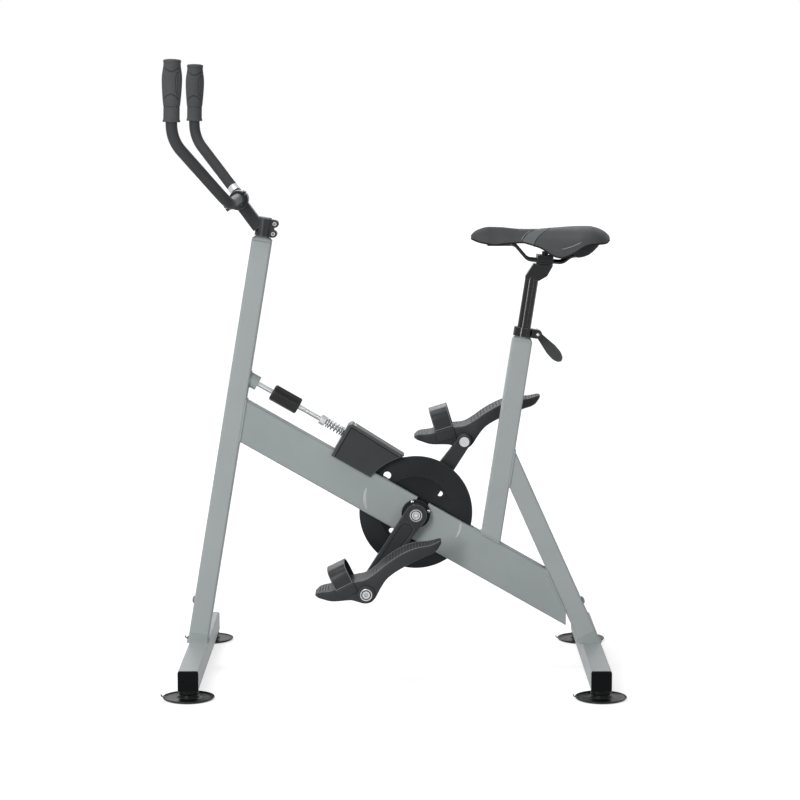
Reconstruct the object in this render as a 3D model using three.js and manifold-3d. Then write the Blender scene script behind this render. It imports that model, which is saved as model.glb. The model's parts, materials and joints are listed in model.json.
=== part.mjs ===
// Aqua bike for a swimming pool, in millimetres: +X to the rear, +Z up, left side at -Y.
// The origin is on the floor, in the middle of the box that the bike fills.
import * as THREE from "three";
import { mergeVertices } from "three/addons/utils/BufferGeometryUtils.js";
import Module from "manifold-3d";

const wasm = await Module();
wasm.setup();

// Clearances and counts used all over
const gap = 0.3; // between neighbouring pieces
const overrun = 6; // how far a cut reaches past the faces that it opens
const reach = 2000; // size of a cut that takes everything on one side of a plane
const weldTolerance = 1e-3;
const fineSides = 24;
const roundSides = 16;
const smallSides = 10;
const discSides = 36;
const shoeSides = 48; // of the round that the brake block's face follows
const seatSides = 96; // of the wide rounds that the rail clamp rocks on
const hexSides = 6;
const wireSides = 10;
const railSides = 6;
const footSides = 20;
const bendSteps = 5;
const railBendSteps = 3;
const arcSteps = 10;
const paddleSteps = 5;
const strapSteps = 4;
const cornerSteps = 2;

// Welded frame of square tube
const tubeSide = 40;
const tubeWall = 2;
const tubeCorner = 4;
const beamDepth = 80;
const beamWall = 2.5;
const beamCorner = 5;
const postLean = 9.4; // degrees, top to the rear
const postLength = 820; // from the base bar's top
const postFootAhead = 2.5; // of the base bar's middle
const seatTubeLean = 8.7; // degrees, top to the rear
const seatTopSetback = 213.1; // behind the crank axis
const seatTopZ = 673;
const stayLean = 24.25; // degrees, foot to the rear
const stayFootAhead = 2.4;
const beamSlope = 29.67; // degrees, down to the rear
const beamDrop = 9.1; // from the crank axis to the beam's middle
const beamTipX = 347; // the beam's lower rear corner is cut off upright here

// Base bars, end caps and suction feet
const baseSpacing = 793; // between the two bars' middles
const barBottomZ = 17;
const barHalfLength = 282.5;
const capThickness = 4;
const capPlugDepth = 16;
const capRibWidth = 2.5;
const footInset = 10.5; // of the foot's middle, from the bar's end
const footRadius = 50;
const footRimHeight = 4.4;
const footRimWidth = 5;
const footSheet = 2;
const footHubRadius = 21;
const footHubHeight = 8;
const footNeckRadius = 18;
const footNeckHeight = 11;
const footTabLength = 4;
const footTabWidth = 9;
const studRadius = 5;
const studRise = 14;

// Sockets that the post and the stay slide over, and their bolts
const collarHeight = 17;
const stubRise = 110;
const stubWall = 2.5;
const boltRise = 82;
const boltRadius = 4;
const boltHeadRadius = 8;
const boltHeadHeight = 4.5;
const boltShoulderHeight = 1.5;
const boltDomeRadius = 5.6;
const boltDomeHeight = 3.7;
const boltLength = 12;

// Crank axis, bearings and brake disc
const crankX = 43.9;
const crankZ = 320;
const notchWidth = 26;
const axleRadius = 7.5;
const axleHalfLength = 43;
const flangeRadius = 29;
const flangeThickness = 7;
const bearingRadius = 12;
const bearingWidth = 5;
const discRadius = 114;
const discThickness = 8;
const discStepRadius = 73;
const discStepDepth = 1.2;
const discGap = 4; // in its slot
const hubRadius = 20;
const hubHalfLength = 14;
const bigHoleRadius = 7.8;
const bigHoleCircle = 94.5;
const smallHoleRadius = 5.5;
const smallHoleCircle = 61.5;
const discHoleAngle = 37.5; // degrees above +X

// Cranks
const crankAngle = 234.7; // degrees, of the left crank, from +X towards +Z
const crankLength = 170;
const crankInnerY = 30;
const crankThickness = 17;
const crankBossRadius = 22;
const crankTipRadius = 13.5;
const crankPanelDepth = 2.5;
const crankPanelMargin = 6;
const crankPanelStart = 34;
const crankCapRadius = 12.5;
const crankCapThickness = 3.5;
const crankCapInset = 1;
const capSocketRadius = 5;
const capSocketDepth = 2.4;

// Pedals, shaped like a foot, with their axles and straps
const pedalLength = 248.6;
const pedalRise = 130.6;
const pedalToeLength = 101; // ahead of the axle
const pedalMidY = 107;
const pedalHalfWidth = 48;
const pedalDish = 2.5; // hollow of the tread across its width
const pedalSkin = 4;
const pedalCorner = 4;
const pedalCornerShare = 0.33; // of the pedal's thickness, at most
const pedalDishShare = 0.25; // of the pedal's thickness, at most
const pedalHubRadius = 14;
const pedalBossRadius = 16.5;
const pedalBossRise = 2.5;
const pedalAxleRadius = 7;
const pedalWasherRadius = 12;
const pedalWasherThickness = 4.5;
const pedalNutRadius = 10;
const pedalNutThickness = 2;
const pedalSocketRadius = 4.5;
const pedalSocketDepth = 3;
const rightPedalTurn = -5; // degrees, against the left one
const strapWidth = 38;
const strapThickness = 3;
const strapLean = 22; // degrees
const strapFootAlong = -34.3; // lower end's middle, from the axle
const strapFootUp = -2;
const leftStrapHeight = 61;
const rightStrapHeight = 69;
const strapCrown = 9;
const strapCornerShare = 0.4; // of the strap's half width
const strapSeatShares = [0.12, 0.42]; // stretch of the pedal with straight sides, which the strap clasps
// Tread and underside of the pedal: share of its length, share of its rise above the axle
const treadShares = [
  [0, -0.03], [0.036, 0.01], [0.125, 0.045], [0.205, 0.105], [0.315, 0.18], [0.403, 0.22],
  [0.475, 0.31], [0.555, 0.44], [0.658, 0.575], [0.73, 0.645], [0.803, 0.69], [0.912, 0.72], [1, 0.78],
];
const soleShares = [
  [0, -0.06], [0.022, -0.078], [0.058, -0.09], [0.146, -0.118], [0.286, -0.1], [0.336, -0.123],
  [0.394, -0.15], [0.43, -0.142], [0.475, -0.072], [0.519, 0.084], [0.562, 0.211], [0.621, 0.309],
  [0.723, 0.421], [0.876, 0.555], [0.971, 0.645], [1, 0.73],
];
// Half width of the pedal: share of its length, share of its half width
const pedalPlanShares = [
  [0, 0.42], [0.02, 0.66], [0.05, 0.82], [0.12, 0.94], [0.42, 0.94], [0.52, 1], [0.62, 0.97],
  [0.74, 0.86], [0.86, 0.72], [0.94, 0.58], [0.98, 0.44], [1, 0.3],
];

// Places of the rings that the pedal and its hollow underside are drawn through
const pedalRingShares = [
  0, 0.02, 0.05, 0.12, 0.2, 0.286, 0.336, 0.394, 0.43, 0.475, 0.519, 0.562, 0.621, 0.68, 0.74, 0.803,
  0.86, 0.912, 0.95, 0.98, 1,
];
const pedalHollowShares = [
  0.06, 0.12, 0.2, 0.286, 0.336, 0.394, 0.43, 0.475, 0.519, 0.562, 0.621, 0.68, 0.74, 0.82, 0.9,
];

// Brake: cover, block and pad, spring, nut, threaded rod, knob and its boss
// The beam's own places: along it from the crank axis, positive to the rear, and square above it
const coverFrontX = -206;
const coverEdgeHeight = 19;
const coverTopHeight = 88;
const coverHalfWidth = 25;
const coverWall = 2.2;
const coverCorner = 5;
const coverDiscGap = 4;
const rodHeight = 69.7;
const rodRadius = 5;
const rodInPost = 13.7; // length of the rod past the post's rear face
const rodEndX = -150;
const bossLength = 18.3; // from the post's rear face
const bossRadius = 14.5;
const knobRise = 53.3; // from the post's rear face to the knob
const knobLength = 57;
const knobRadius = 16.8;
const knobFlutes = 6;
const knobFluteSteps = 8;
const knobFluteDepth = 2.6;
const springLength = 42.4; // from the nut to the cover
const nutLength = 12.6;
const nutRadius = 10.5;
const springRadius = 8.2;
const springWire = 2.4;
const springCurls = 7;
const springCurlSteps = 8;
const springWireSides = 5;
const padGap = 0.3;
const padThickness = 8;
const blockFrontX = -176;
const blockRearX = -106.5;
const blockHalfWidth = 15;
const blockTopHeight = 83;
const padEdgeHeight = 50;
const padHalfWidth = 10;

// Seat tube's neck, its clamp, skewer and lever
const neckRadius = 16.5;
const neckRise = 21;
const neckRoot = 10; // of the neck, inside the square tube
const shoulderHeight = 6;
const shoulderInset = 2.5;
const slitWidth = 3;
const clampRise = 3; // above the seat tube's shoulder
const clampHeight = 18;
const clampWall = 3.2;
const earThickness = 9.2;
const earGap = 4;
const skewerOut = 28.5; // from the seat tube's axis
const skewerRadius = 2.5;
const skewerNutRadius = 6;
const skewerNutThickness = 5;
const leverCheekRadius = 7.5;
const leverHeadWidth = 13;
const leverFork = 6.2;
const eyeRadius = 4.5;
const leverPinRadius = 2;
const leverLength = 74;
const leverWidth = 18;
const leverThickness = 5;
const leverRootWidth = 13;
const leverSlope = 49; // degrees below level, to the rear

// Seatpost and its head
const postRadius = 13.6;
const postWall = 2;
const seatpostBelow = 170; // inside the seat tube, below its top
const seatpostAbove = 124;
const headHalfWidth = 13;
const headFootLength = 14; // half of the head's foot
const railRise = 159.2; // middle of the rail clamp, above the seat tube's top
const railSetback = 18.94; // and behind the seatpost's axis
const railSlope = 5.2; // degrees, down to the rear
const headTopDrop = 10; // from the rails' middle to the head's top
const headTopFront = 20;
const headTopRear = 19;
const headRearDrop = 20;
const headRearInset = 11;
const tiltRadius = 60; // of the curved seat that lets the saddle tilt
const tiltPocketLength = 28;
const tiltPocketDepth = 11;
const railRadius = 3.5;
const railHalfGauge = 22;
const cradleHalfLength = 16;
const cradleHalfWidth = 28;
const cradleFloor = 2.2; // under each rail
const plateHeight = 11;
const clampSplit = 0.6;
const railBoltRadius = 3;
const railBoltHang = 8; // below the head's top
const railNutRadius = 7;
const railNutHeight = 7;

// Saddle
const saddleLength = 274.4;
const saddleNoseLength = 146.6; // ahead of the rail clamp's middle
const saddleRise = 68.8; // top above the rails' middle
const saddleHalfWidth = 77;
const cushionCore = 22;
const cushionCoreShare = 0.62; // most of the crown's height that the core takes
const cushionLip = 2;
const cushionUnderShare = 0.94; // the underside is drawn in by this share
const crownFlatPower = 2.6;
const crownRoundPower = 0.55;
const shellWidthShare = 0.9;
const shellThickness = 3;
const holderTopHeight = 50; // of the shell's rail holders, inside the cushion before the cut
const tailBlockFront = 57;
const tailBlockRear = 103;
const tailBlockHeight = 6;
const tailBlockTilt = 26; // its lower edge rises by this much to the rear
const tailBlockInnerY = 13;
const tailBlockOuterY = 35;
const noseBlockFront = -114;
const noseBlockRear = -66;
const noseBlockHeight = 29.5;
const noseBlockHalfWidth = 13;
const railInBlock = 14; // length of each rail's end inside the tail block
const railTrim = 5; // length that each bend of the rails takes from the straights beside it
const railNoseX = -104;
const railNoseHalfGauge = 9;
const railNoseZ = 35;
const railDropX = -60;
const railDropZ = 33.4;
const railFrontX = -34;
const railRearX = 35;
const railTailZ = 10.5;
// Saddle from the side: share of its length, share of its rise, for the ridge and for the lower edge
const ridgeShares = [
  [0, 0.74], [0.02, 0.83], [0.053, 0.908], [0.127, 0.983], [0.22, 0.971], [0.35, 0.92], [0.48, 0.912],
  [0.61, 0.952], [0.747, 0.99], [0.85, 1], [0.914, 0.955], [0.97, 0.85], [1, 0.74],
];
const edgeShares = [
  [0, 0.64], [0.047, 0.56], [0.12, 0.494], [0.166, 0.46], [0.23, 0.494], [0.3, 0.52], [0.367, 0.54],
  [0.413, 0.5], [0.468, 0.439], [0.514, 0.366], [0.56, 0.238], [0.606, 0.154], [0.652, 0.13],
  [0.689, 0.183], [0.743, 0.294], [0.798, 0.44], [0.853, 0.515], [0.917, 0.53], [0.97, 0.55], [1, 0.64],
];
// Half width of the saddle: share of its length, share of its half width
const saddlePlanShares = [
  [0, 0.07], [0.015, 0.15], [0.04, 0.21], [0.1, 0.26], [0.2, 0.29], [0.35, 0.36], [0.48, 0.49],
  [0.6, 0.74], [0.7, 0.92], [0.8, 1], [0.88, 0.985], [0.945, 0.84], [0.985, 0.6], [1, 0.4],
];
// Places of the rings that the cushion and its shell are drawn through, and of each ring's points
const cushionRingShares = [
  0, 0.012, 0.035, 0.07, 0.12, 0.17, 0.23, 0.3, 0.367, 0.42, 0.47, 0.52, 0.56, 0.606, 0.652, 0.7, 0.75,
  0.8, 0.85, 0.9, 0.94, 0.97, 0.99, 1,
];
const shellRingShares = [
  0.07, 0.12, 0.17, 0.23, 0.3, 0.367, 0.42, 0.47, 0.52, 0.56, 0.606, 0.652, 0.7, 0.75, 0.8, 0.85, 0.9,
  0.94,
];
const crownShares = [-1, -0.95, -0.76, -0.42, 0, 0.42, 0.76, 0.95, 1]; // of the half width

// Steerer stub, stem and handlebar
const stubPlateHeight = 9;
const stubBevel = 4.5;
const steererRadius = 12.7;
const steererRise = 40;
const stemClampStart = 1.5; // above the stub's plate
const stemClampHeight = 36;
const stemClampRadius = 17;
const stemEarOut = 28;
const stemHeadRadius = 21; // round back of the handlebar clamp
const stemNeckAhead = 10; // start of the neck, ahead of the steerer's axis
const stemNeckDrop = 2; // and below the clamp's middle
const stemEarHalfWidth = 12;
const stemSlit = 3;
const pinchOut = 20;
const pinchSpacing = 20;
const pinchRadius = 2.5;
const pinchHeadRadius = 4.5;
const pinchHeadHeight = 4.5;
const barAhead = 59.36; // of the post's axis
const barRise = 74.31; // above the post's top, along it
const barRadius = 11.1;
const barWall = 2;
const barBulgeRadius = 12.7;
const barBulgeHalfLength = 32;
const barTaperEnd = 46;
const stemBarRadius = 18.2;
const stemBarHalfWidth = 20;
const stemNeckHalfHeight = 12.5;
const stemNeckHalfWidth = 15;
const lowerEarOut = 31;
const upperEarOut = 21;
const faceplateEarThickness = 7;
const elbowAhead = 5.5; // of the bar's middle
const elbowDrop = 4.5;
const elbowY = 178;
const hornY = 264.5;
const hornDrop = 32.4; // from the grip's lower end to the upper bend's corner
const elbowTrim = 34; // length that the lower bend takes from the straights beside it
const hornTrim = 31; // the same for the upper bend
const sweepTrim = 8; // and for the slight bend beside the middle
const gripAhead = 107.5; // lower end of the grip, ahead of the bar's middle
const gripRise = 154; // and above it
const gripLean = 1.3; // degrees, top to the rear
const gripLength = 116;
const gripCap = 4;
// Grip's outline: share of its length, share of its largest radius
const gripRadius = 19.2;
const gripShares = [
  [0, 0.8], [0.02, 0.83], [0.066, 0.82], [0.12, 0.8], [0.19, 0.8], [0.353, 0.885], [0.517, 0.963],
  [0.677, 1], [0.76, 0.98], [0.837, 0.917], [0.93, 0.86], [0.985, 0.82], [1, 0.76],
];

// Finishes
const framePaint = finish(0x9ba3a1, 0.38, 0.25);
const blackPaint = finish(0x2b2d2f, 0.45, 0.2);
const blackPlastic = finish(0x1c1d1e, 0.5, 0);
const greyPlastic = finish(0x3e4042, 0.6, 0);
const glossBlack = finish(0x121314, 0.2, 0.4);
const rubber = finish(0x4b4d4f, 0.85, 0);
const leather = finish(0x46484a, 0.7, 0);
const steel = finish(0xc9cbcc, 0.28, 1);
const felt = finish(0x35302c, 0.95, 0);

const quarterTurn = Math.PI / 2;
const fullTurn = 2 * Math.PI;
const baseShift = footTabLength / 2; // the feet's tabs point forward, so the bars stand this far back
const barMiddleZ = barBottomZ + tubeSide / 2;
const barTopZ = barBottomZ + tubeSide;
const frontBarX = -baseSpacing / 2 + baseShift;
const rearBarX = baseSpacing / 2 + baseShift;

// Frames of the leaning pieces: a point, and the turn about Y that stands them there
const postPlace = { x: frontBarX - postFootAhead, z: barTopZ, turn: radians(postLean) };
const seatPlace = { x: crankX + seatTopSetback, z: seatTopZ, turn: radians(seatTubeLean) };
const stayPlace = { x: rearBarX - stayFootAhead, z: barTopZ, turn: -radians(stayLean) };
const beamPlace = { x: crankX, z: crankZ, turn: radians(beamSlope) };
const [railX, railZ] = outOf(seatPlace, railSetback, railRise);
const railPlace = { x: railX, z: railZ, turn: radians(railSlope) };
const crankPlace = { x: crankX, z: crankZ, turn: -radians(crankAngle) };
const [barX, barZ] = outOf(postPlace, -barAhead, postLength + barRise);
const earOuter = earGap / 2 + earThickness;
const skewerMiddle = clampRise + clampHeight / 2;
const leverPivotY = earOuter + gap + leverCheekRadius;
const [leverX, leverZ] = outOf(seatPlace, skewerOut, skewerMiddle);
const leverPlace = { x: leverX, z: leverZ, turn: radians(leverSlope) };
const gripPlace = { x: barX - gripAhead, z: barZ + gripRise, turn: radians(gripLean) };
const floorPlace = { x: 0, z: 0, turn: 0 };

// Places along the beam of what the rod carries
const postFaceX = postFaceAlongRod();
const rodStartX = postFaceX - rodInPost;
const bossEndX = postFaceX + bossLength;
const knobStartX = postFaceX + knobRise;
const nutEndX = coverFrontX - springLength;
const nutStartX = nutEndX - nutLength;
const footY = barHalfLength - footInset;

function finish(color, roughness, metalness) {
  return new THREE.MeshStandardMaterial({ color, roughness, metalness });
}

function radians(degrees) {
  return THREE.MathUtils.degToRad(degrees);
}

// A point given in one leaning frame, as [x, z] in the part's frame
function outOf(place, x, z) {
  const cos = Math.cos(place.turn);
  const sin = Math.sin(place.turn);
  return [place.x + x * cos + z * sin, place.z - x * sin + z * cos];
}

// A point of the part's frame, as [x, z] in a leaning frame
function into(place, x, z) {
  const cos = Math.cos(place.turn);
  const sin = Math.sin(place.turn);
  return [(x - place.x) * cos - (z - place.z) * sin, (x - place.x) * sin + (z - place.z) * cos];
}

// Where the rod's line meets the post's rear face, along the beam
function postFaceAlongRod() {
  const [near] = into(postPlace, ...outOf(beamPlace, 0, rodHeight));
  const [far] = into(postPlace, ...outOf(beamPlace, coverFrontX, rodHeight));
  return (coverFrontX * (near - tubeSide / 2)) / (near - far);
}

// A closed geometry as a solid with its faces outward
function solid(piece) {
  if (!piece.isBufferGeometry) return piece;
  const bare = piece.index ? piece.toNonIndexed() : piece.clone();
  for (const name of Object.keys(bare.attributes)) {
    if (name !== "position") bare.deleteAttribute(name);
  }
  const merged = mergeVertices(bare, weldTolerance);
  const index = merged.index.array;
  const corners = [];
  for (let i = 0; i < index.length; i += 3) {
    const [a, b, c] = index.slice(i, i + 3);
    if (a !== b && b !== c && c !== a) corners.push(a, b, c);
  }
  const made = manifold(merged.attributes.position.array, corners);
  return made.volume() < 0 ? manifold(merged.attributes.position.array, corners.reverse()) : made;
}

function manifold(vertProperties, corners) {
  const triVerts = new Uint32Array(corners);
  return new wasm.Manifold(new wasm.Mesh({ numProp: 3, vertProperties, triVerts }));
}

function join(first, ...others) {
  return others.reduce((made, piece) => made.add(solid(piece)), solid(first));
}

function cut(first, ...tools) {
  return tools.reduce((made, tool) => made.subtract(solid(tool)), solid(first));
}

// A solid as a plain geometry with flat normals
function geometryOf(made) {
  const mesh = made.getMesh();
  const count = mesh.numProp;
  const places = new Float32Array(mesh.numVert * 3);
  for (let i = 0; i < mesh.numVert; i++) {
    places.set(mesh.vertProperties.subarray(i * count, i * count + 3), i * 3);
  }
  const indexed = new THREE.BufferGeometry();
  indexed.setAttribute("position", new THREE.BufferAttribute(places, 3));
  indexed.setIndex(new THREE.BufferAttribute(mesh.triVerts, 1));
  const flat = indexed.toNonIndexed();
  flat.computeVertexNormals();
  return flat;
}

function block(x0, x1, y0, y1, z0, z1) {
  const made = new THREE.BoxGeometry(x1 - x0, y1 - y0, z1 - z0);
  return made.translate((x0 + x1) / 2, (y0 + y1) / 2, (z0 + z1) / 2);
}

// A round or many-sided bar between two points
function bar(radius, from, to, sides = roundSides, endRadius = radius) {
  const start = new THREE.Vector3(...from);
  const along = new THREE.Vector3(...to).sub(start);
  const made = new THREE.CylinderGeometry(endRadius, radius, along.length(), sides);
  made.translate(0, along.length() / 2, 0);
  const up = new THREE.Vector3(0, 1, 0);
  made.applyQuaternion(new THREE.Quaternion().setFromUnitVectors(up, along.normalize()));
  return made.translate(start.x, start.y, start.z);
}

// A bar across the bike, from y0 to y1
function crossBar(radius, y0, y1, x, z, sides = roundSides) {
  return bar(radius, [x, y0, z], [x, y1, z], sides);
}

// A side-view outline given thickness from y0 to y1
function slab(outline, y0, y1, curveSegments = arcSteps) {
  const depth = y1 - y0;
  const made = new THREE.ExtrudeGeometry(outline, { depth, bevelEnabled: false, curveSegments });
  made.rotateX(quarterTurn);
  return made.translate(0, y1, 0);
}

function polygon(points) {
  return new THREE.Shape(points.map(([x, z]) => new THREE.Vector2(x, z)));
}

function roundedRectangle(width, height, corner, Kind = THREE.Shape) {
  const w = width / 2;
  const h = height / 2;
  const made = new Kind();
  made.moveTo(w - corner, -h);
  made.absarc(w - corner, -h + corner, corner, -quarterTurn, 0, false);
  made.absarc(w - corner, h - corner, corner, 0, quarterTurn, false);
  made.absarc(-w + corner, h - corner, corner, quarterTurn, Math.PI, false);
  made.absarc(-w + corner, -h + corner, corner, Math.PI, Math.PI + quarterTurn, false);
  made.closePath();
  return made;
}

// Rectangular tube along its own Z, from z0 to z1
function squareTube(depth, width, wall, corner, z0, z1) {
  const outline = roundedRectangle(depth, width, corner);
  const innerCorner = Math.max(corner - wall, wall);
  outline.holes.push(roundedRectangle(depth - 2 * wall, width - 2 * wall, innerCorner, THREE.Path));
  const options = { depth: z1 - z0, bevelEnabled: false, curveSegments: cornerSteps };
  return new THREE.ExtrudeGeometry(outline, options).translate(0, 0, z0);
}

// Everything on one side of a plane square to the side view: past a point, in a direction
function beyond(x, z, dx, dz) {
  const made = new THREE.BoxGeometry(reach, reach, reach).translate(reach / 2, 0, 0);
  made.rotateY(-Math.atan2(dz, dx));
  return made.translate(x, 0, z);
}

// The same, for a plane that belongs to another leaning frame
function beyondFace(here, other, x, z, dx, dz) {
  const [px, pz] = into(here, ...outOf(other, x, z));
  const [qx, qz] = into(here, ...outOf(other, x + dx, z + dz));
  return beyond(px, pz, qx - px, qz - pz);
}

// A turned piece about its own Z, from [radius, height] points
function turned(points, sides = roundSides) {
  const profile = points.map(([r, z]) => new THREE.Vector2(r, z));
  return new THREE.LatheGeometry(profile, sides).rotateX(quarterTurn);
}

// A closed skin over rings of equal count, with a fan over each end
function loft(rings) {
  const count = rings[0].length;
  const places = rings.flat().flatMap((p) => p.toArray());
  const corners = [];
  for (let i = 0; i + 1 < rings.length; i++) {
    for (let j = 0; j < count; j++) {
      const a = i * count + j;
      const b = i * count + ((j + 1) % count);
      corners.push(a, b, b + count, a, b + count, a + count);
    }
  }
  const ends = [
    [rings[0], 0, false],
    [rings.at(-1), (rings.length - 1) * count, true],
  ];
  for (const [ring, start, forward] of ends) {
    const middle = ring.reduce((sum, p) => sum.add(p), new THREE.Vector3()).divideScalar(count);
    const tip = places.push(...middle.toArray()) / 3 - 1;
    for (let j = 0; j < count; j++) {
      const a = start + j;
      const b = start + ((j + 1) % count);
      corners.push(...(forward ? [a, b, tip] : [b, a, tip]));
    }
  }
  const made = new THREE.BufferGeometry();
  made.setAttribute("position", new THREE.Float32BufferAttribute(places, 3));
  return made.setIndex(corners);
}

// A round bar along a line of points, its ends square to it and its section carried along untwisted
function wire(points, radius, sides) {
  let out = new THREE.Vector3(0, 0, 1);
  const rings = points.map((point, i) => {
    const before = points[Math.max(i - 1, 0)];
    const after = points[Math.min(i + 1, points.length - 1)];
    const along = after.clone().sub(before).normalize();
    out = out.clone().addScaledVector(along, -out.dot(along)).normalize();
    const side = along.clone().cross(out);
    return Array.from({ length: sides }, (_, j) => {
      const angle = (j / sides) * fullTurn;
      const spoke = out.clone().multiplyScalar(Math.cos(angle)).addScaledVector(side, Math.sin(angle));
      return point.clone().addScaledVector(spoke, radius);
    });
  });
  return loft(rings);
}

// Points of a bent line: each corner is rounded over a length of its own on both sides
function bentLine(corners, trims, steps) {
  const made = [corners[0]];
  for (let i = 1; i + 1 < corners.length; i++) {
    const trim = trims[i - 1];
    const before = corners[i].clone().add(corners[i - 1].clone().sub(corners[i]).setLength(trim));
    const after = corners[i].clone().add(corners[i + 1].clone().sub(corners[i]).setLength(trim));
    made.push(...new THREE.QuadraticBezierCurve3(before, corners[i], after).getPoints(steps));
  }
  return [...made, corners.at(-1)];
}

// Straight-line reading of a table of share pairs
function readShares(shares, at) {
  const next = shares.findIndex(([share]) => share >= at);
  if (next <= 0) return shares[next < 0 ? shares.length - 1 : 0][1];
  const [a, low] = shares[next - 1];
  const [b, high] = shares[next];
  return low + ((high - low) * (at - a)) / (b - a);
}

function mirrored(piece) {
  return geometryOf(solid(piece)).scale(1, -1, 1);
}

function mesh(name, piece, material) {
  const made = new THREE.Mesh(geometryOf(solid(piece)), material.clone());
  made.name = name;
  return made;
}

function group(place, ...children) {
  const made = new THREE.Group();
  made.position.set(place.x, 0, place.z);
  made.rotation.y = place.turn;
  if (children.length) made.add(...children);
  return made;
}

// Base bars, their caps and feet

function baseBar(x, name) {
  const tube = squareTube(tubeSide, tubeSide, tubeWall, tubeCorner, -barHalfLength, barHalfLength);
  tube.rotateX(quarterTurn).translate(0, 0, barMiddleZ);
  const studHoles = [-footY, footY].map((y) => {
    return bar(studRadius + gap, [0, y, barBottomZ - overrun], [0, y, barBottomZ + overrun], smallSides);
  });
  const made = mesh(name, cut(tube, ...studHoles), framePaint);
  made.position.x = x;
  return made;
}

function endCap(side) {
  const outer = barHalfLength + gap;
  const plate = roundedRectangle(tubeSide, tubeSide, tubeCorner);
  const options = { depth: capThickness, bevelEnabled: false, curveSegments: cornerSteps };
  const face = new THREE.ExtrudeGeometry(plate, options).rotateX(quarterTurn);
  face.translate(0, outer + capThickness, barMiddleZ);
  const ribOut = tubeSide / 2 - tubeWall - gap;
  const ribHalf = tubeSide / 2 - 2 * tubeCorner;
  const ribEnd = outer - capPlugDepth;
  const ribRoot = outer + capThickness / 2;
  const ribs = [-1, 1].map((hand) => {
    const [x0, x1] = hand < 0 ? [-ribOut, -ribOut + capRibWidth] : [ribOut - capRibWidth, ribOut];
    return block(x0, x1, ribEnd, ribRoot, barMiddleZ - ribHalf, barMiddleZ + ribHalf);
  });
  const made = join(face, ...ribs);
  return side < 0 ? mirrored(made) : made;
}

function suctionFoot() {
  const top = barBottomZ - gap;
  const rimInner = footRadius - footRimWidth;
  const body = turned([
    [0, 0],
    [rimInner, 0],
    [footRadius, footRimHeight],
    [footRadius - footSheet / 2, footRimHeight + footSheet / 2],
    [rimInner, footSheet],
    [footHubRadius + footSheet, 2 * footSheet],
    [footHubRadius, footHubHeight],
    [footNeckRadius, footHubHeight],
    [footNeckRadius, footNeckHeight],
    [footHubRadius - footSheet / 2, footNeckHeight],
    [footHubRadius - footSheet / 2, top],
    [studRadius, top],
    [studRadius, top + studRise],
    [0, top + studRise],
  ], footSides);
  const tabEnd = footRadius + footTabLength;
  const tabHalf = footTabWidth / 2;
  const tab = block(-tabEnd, -rimInner, -tabHalf, tabHalf, footRimHeight - footSheet, footRimHeight);
  return join(body, tab);
}

function socket(place) {
  const stubSide = tubeSide - 2 * tubeWall - 2 * gap;
  const wall = tubeWall + stubWall;
  const collar = squareTube(tubeSide, tubeSide, wall, tubeCorner, -tubeSide, collarHeight);
  const stub = squareTube(stubSide, stubSide, stubWall, tubeWall, -tubeSide, collarHeight + stubRise);
  const floor = beyondFace(place, floorPlace, 0, barTopZ + gap, 0, -1);
  return cut(join(collar, stub), floor);
}

function boltHole(side) {
  const inner = tubeSide / 2 - tubeWall - stubWall - overrun;
  const outer = tubeSide / 2 + overrun;
  return bar(boltRadius + gap, [side * inner, 0, boltRise], [side * outer, 0, boltRise], smallSides);
}

// Dome bolt that holds the tube on its socket, on the side given
function socketBolt(side) {
  const seat = tubeSide / 2 + gap;
  const made = turned([
    [0, -boltLength],
    [boltRadius, -boltLength],
    [boltRadius, 0],
    [boltHeadRadius, 0],
    [boltHeadRadius, boltShoulderHeight],
    [boltDomeRadius, boltDomeHeight],
    [0, boltHeadHeight],
  ], smallSides);
  return made.rotateY(side * quarterTurn).translate(side * seat, 0, boltRise);
}

// Welded frame

function frontPost() {
  const tube = squareTube(tubeSide, tubeSide, tubeWall, tubeCorner, collarHeight + gap, postLength);
  const [rodX, rodZ] = into(postPlace, ...outOf(beamPlace, rodStartX, rodHeight));
  const [innerX, innerZ] = into(postPlace, ...outOf(beamPlace, bossEndX, rodHeight));
  const rodHole = bar(rodRadius + 2 * gap, [rodX, 0, rodZ], [innerX, 0, innerZ], smallSides);
  return cut(tube, boltHole(-1), rodHole);
}

function mainBeam() {
  const front = -baseSpacing;
  const rear = baseSpacing;
  const tube = squareTube(beamDepth, tubeSide, beamWall, beamCorner, front, rear);
  tube.rotateY(quarterTurn).translate(0, 0, -beamDrop);
  const postFace = beyondFace(beamPlace, postPlace, tubeSide / 2 + gap, 0, -1, 0);
  const stayFace = beyondFace(beamPlace, stayPlace, -tubeSide / 2 - gap, 0, 1, 0);
  const tip = beyondFace(beamPlace, floorPlace, beamTipX, 0, 1, 0);
  const slotEnd = discRadius + discGap;
  const slotHalf = discThickness / 2 + discGap;
  const slot = block(-slotEnd, slotEnd, -slotHalf, slotHalf, -beamDepth, beamDepth);
  const notch = block(-notchWidth / 2, notchWidth / 2, -tubeSide, tubeSide, 0, beamDepth);
  const round = crossBar(notchWidth / 2, -tubeSide, tubeSide, 0, 0);
  return cut(tube, postFace, stayFace, tip, slot, notch, round);
}

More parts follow.
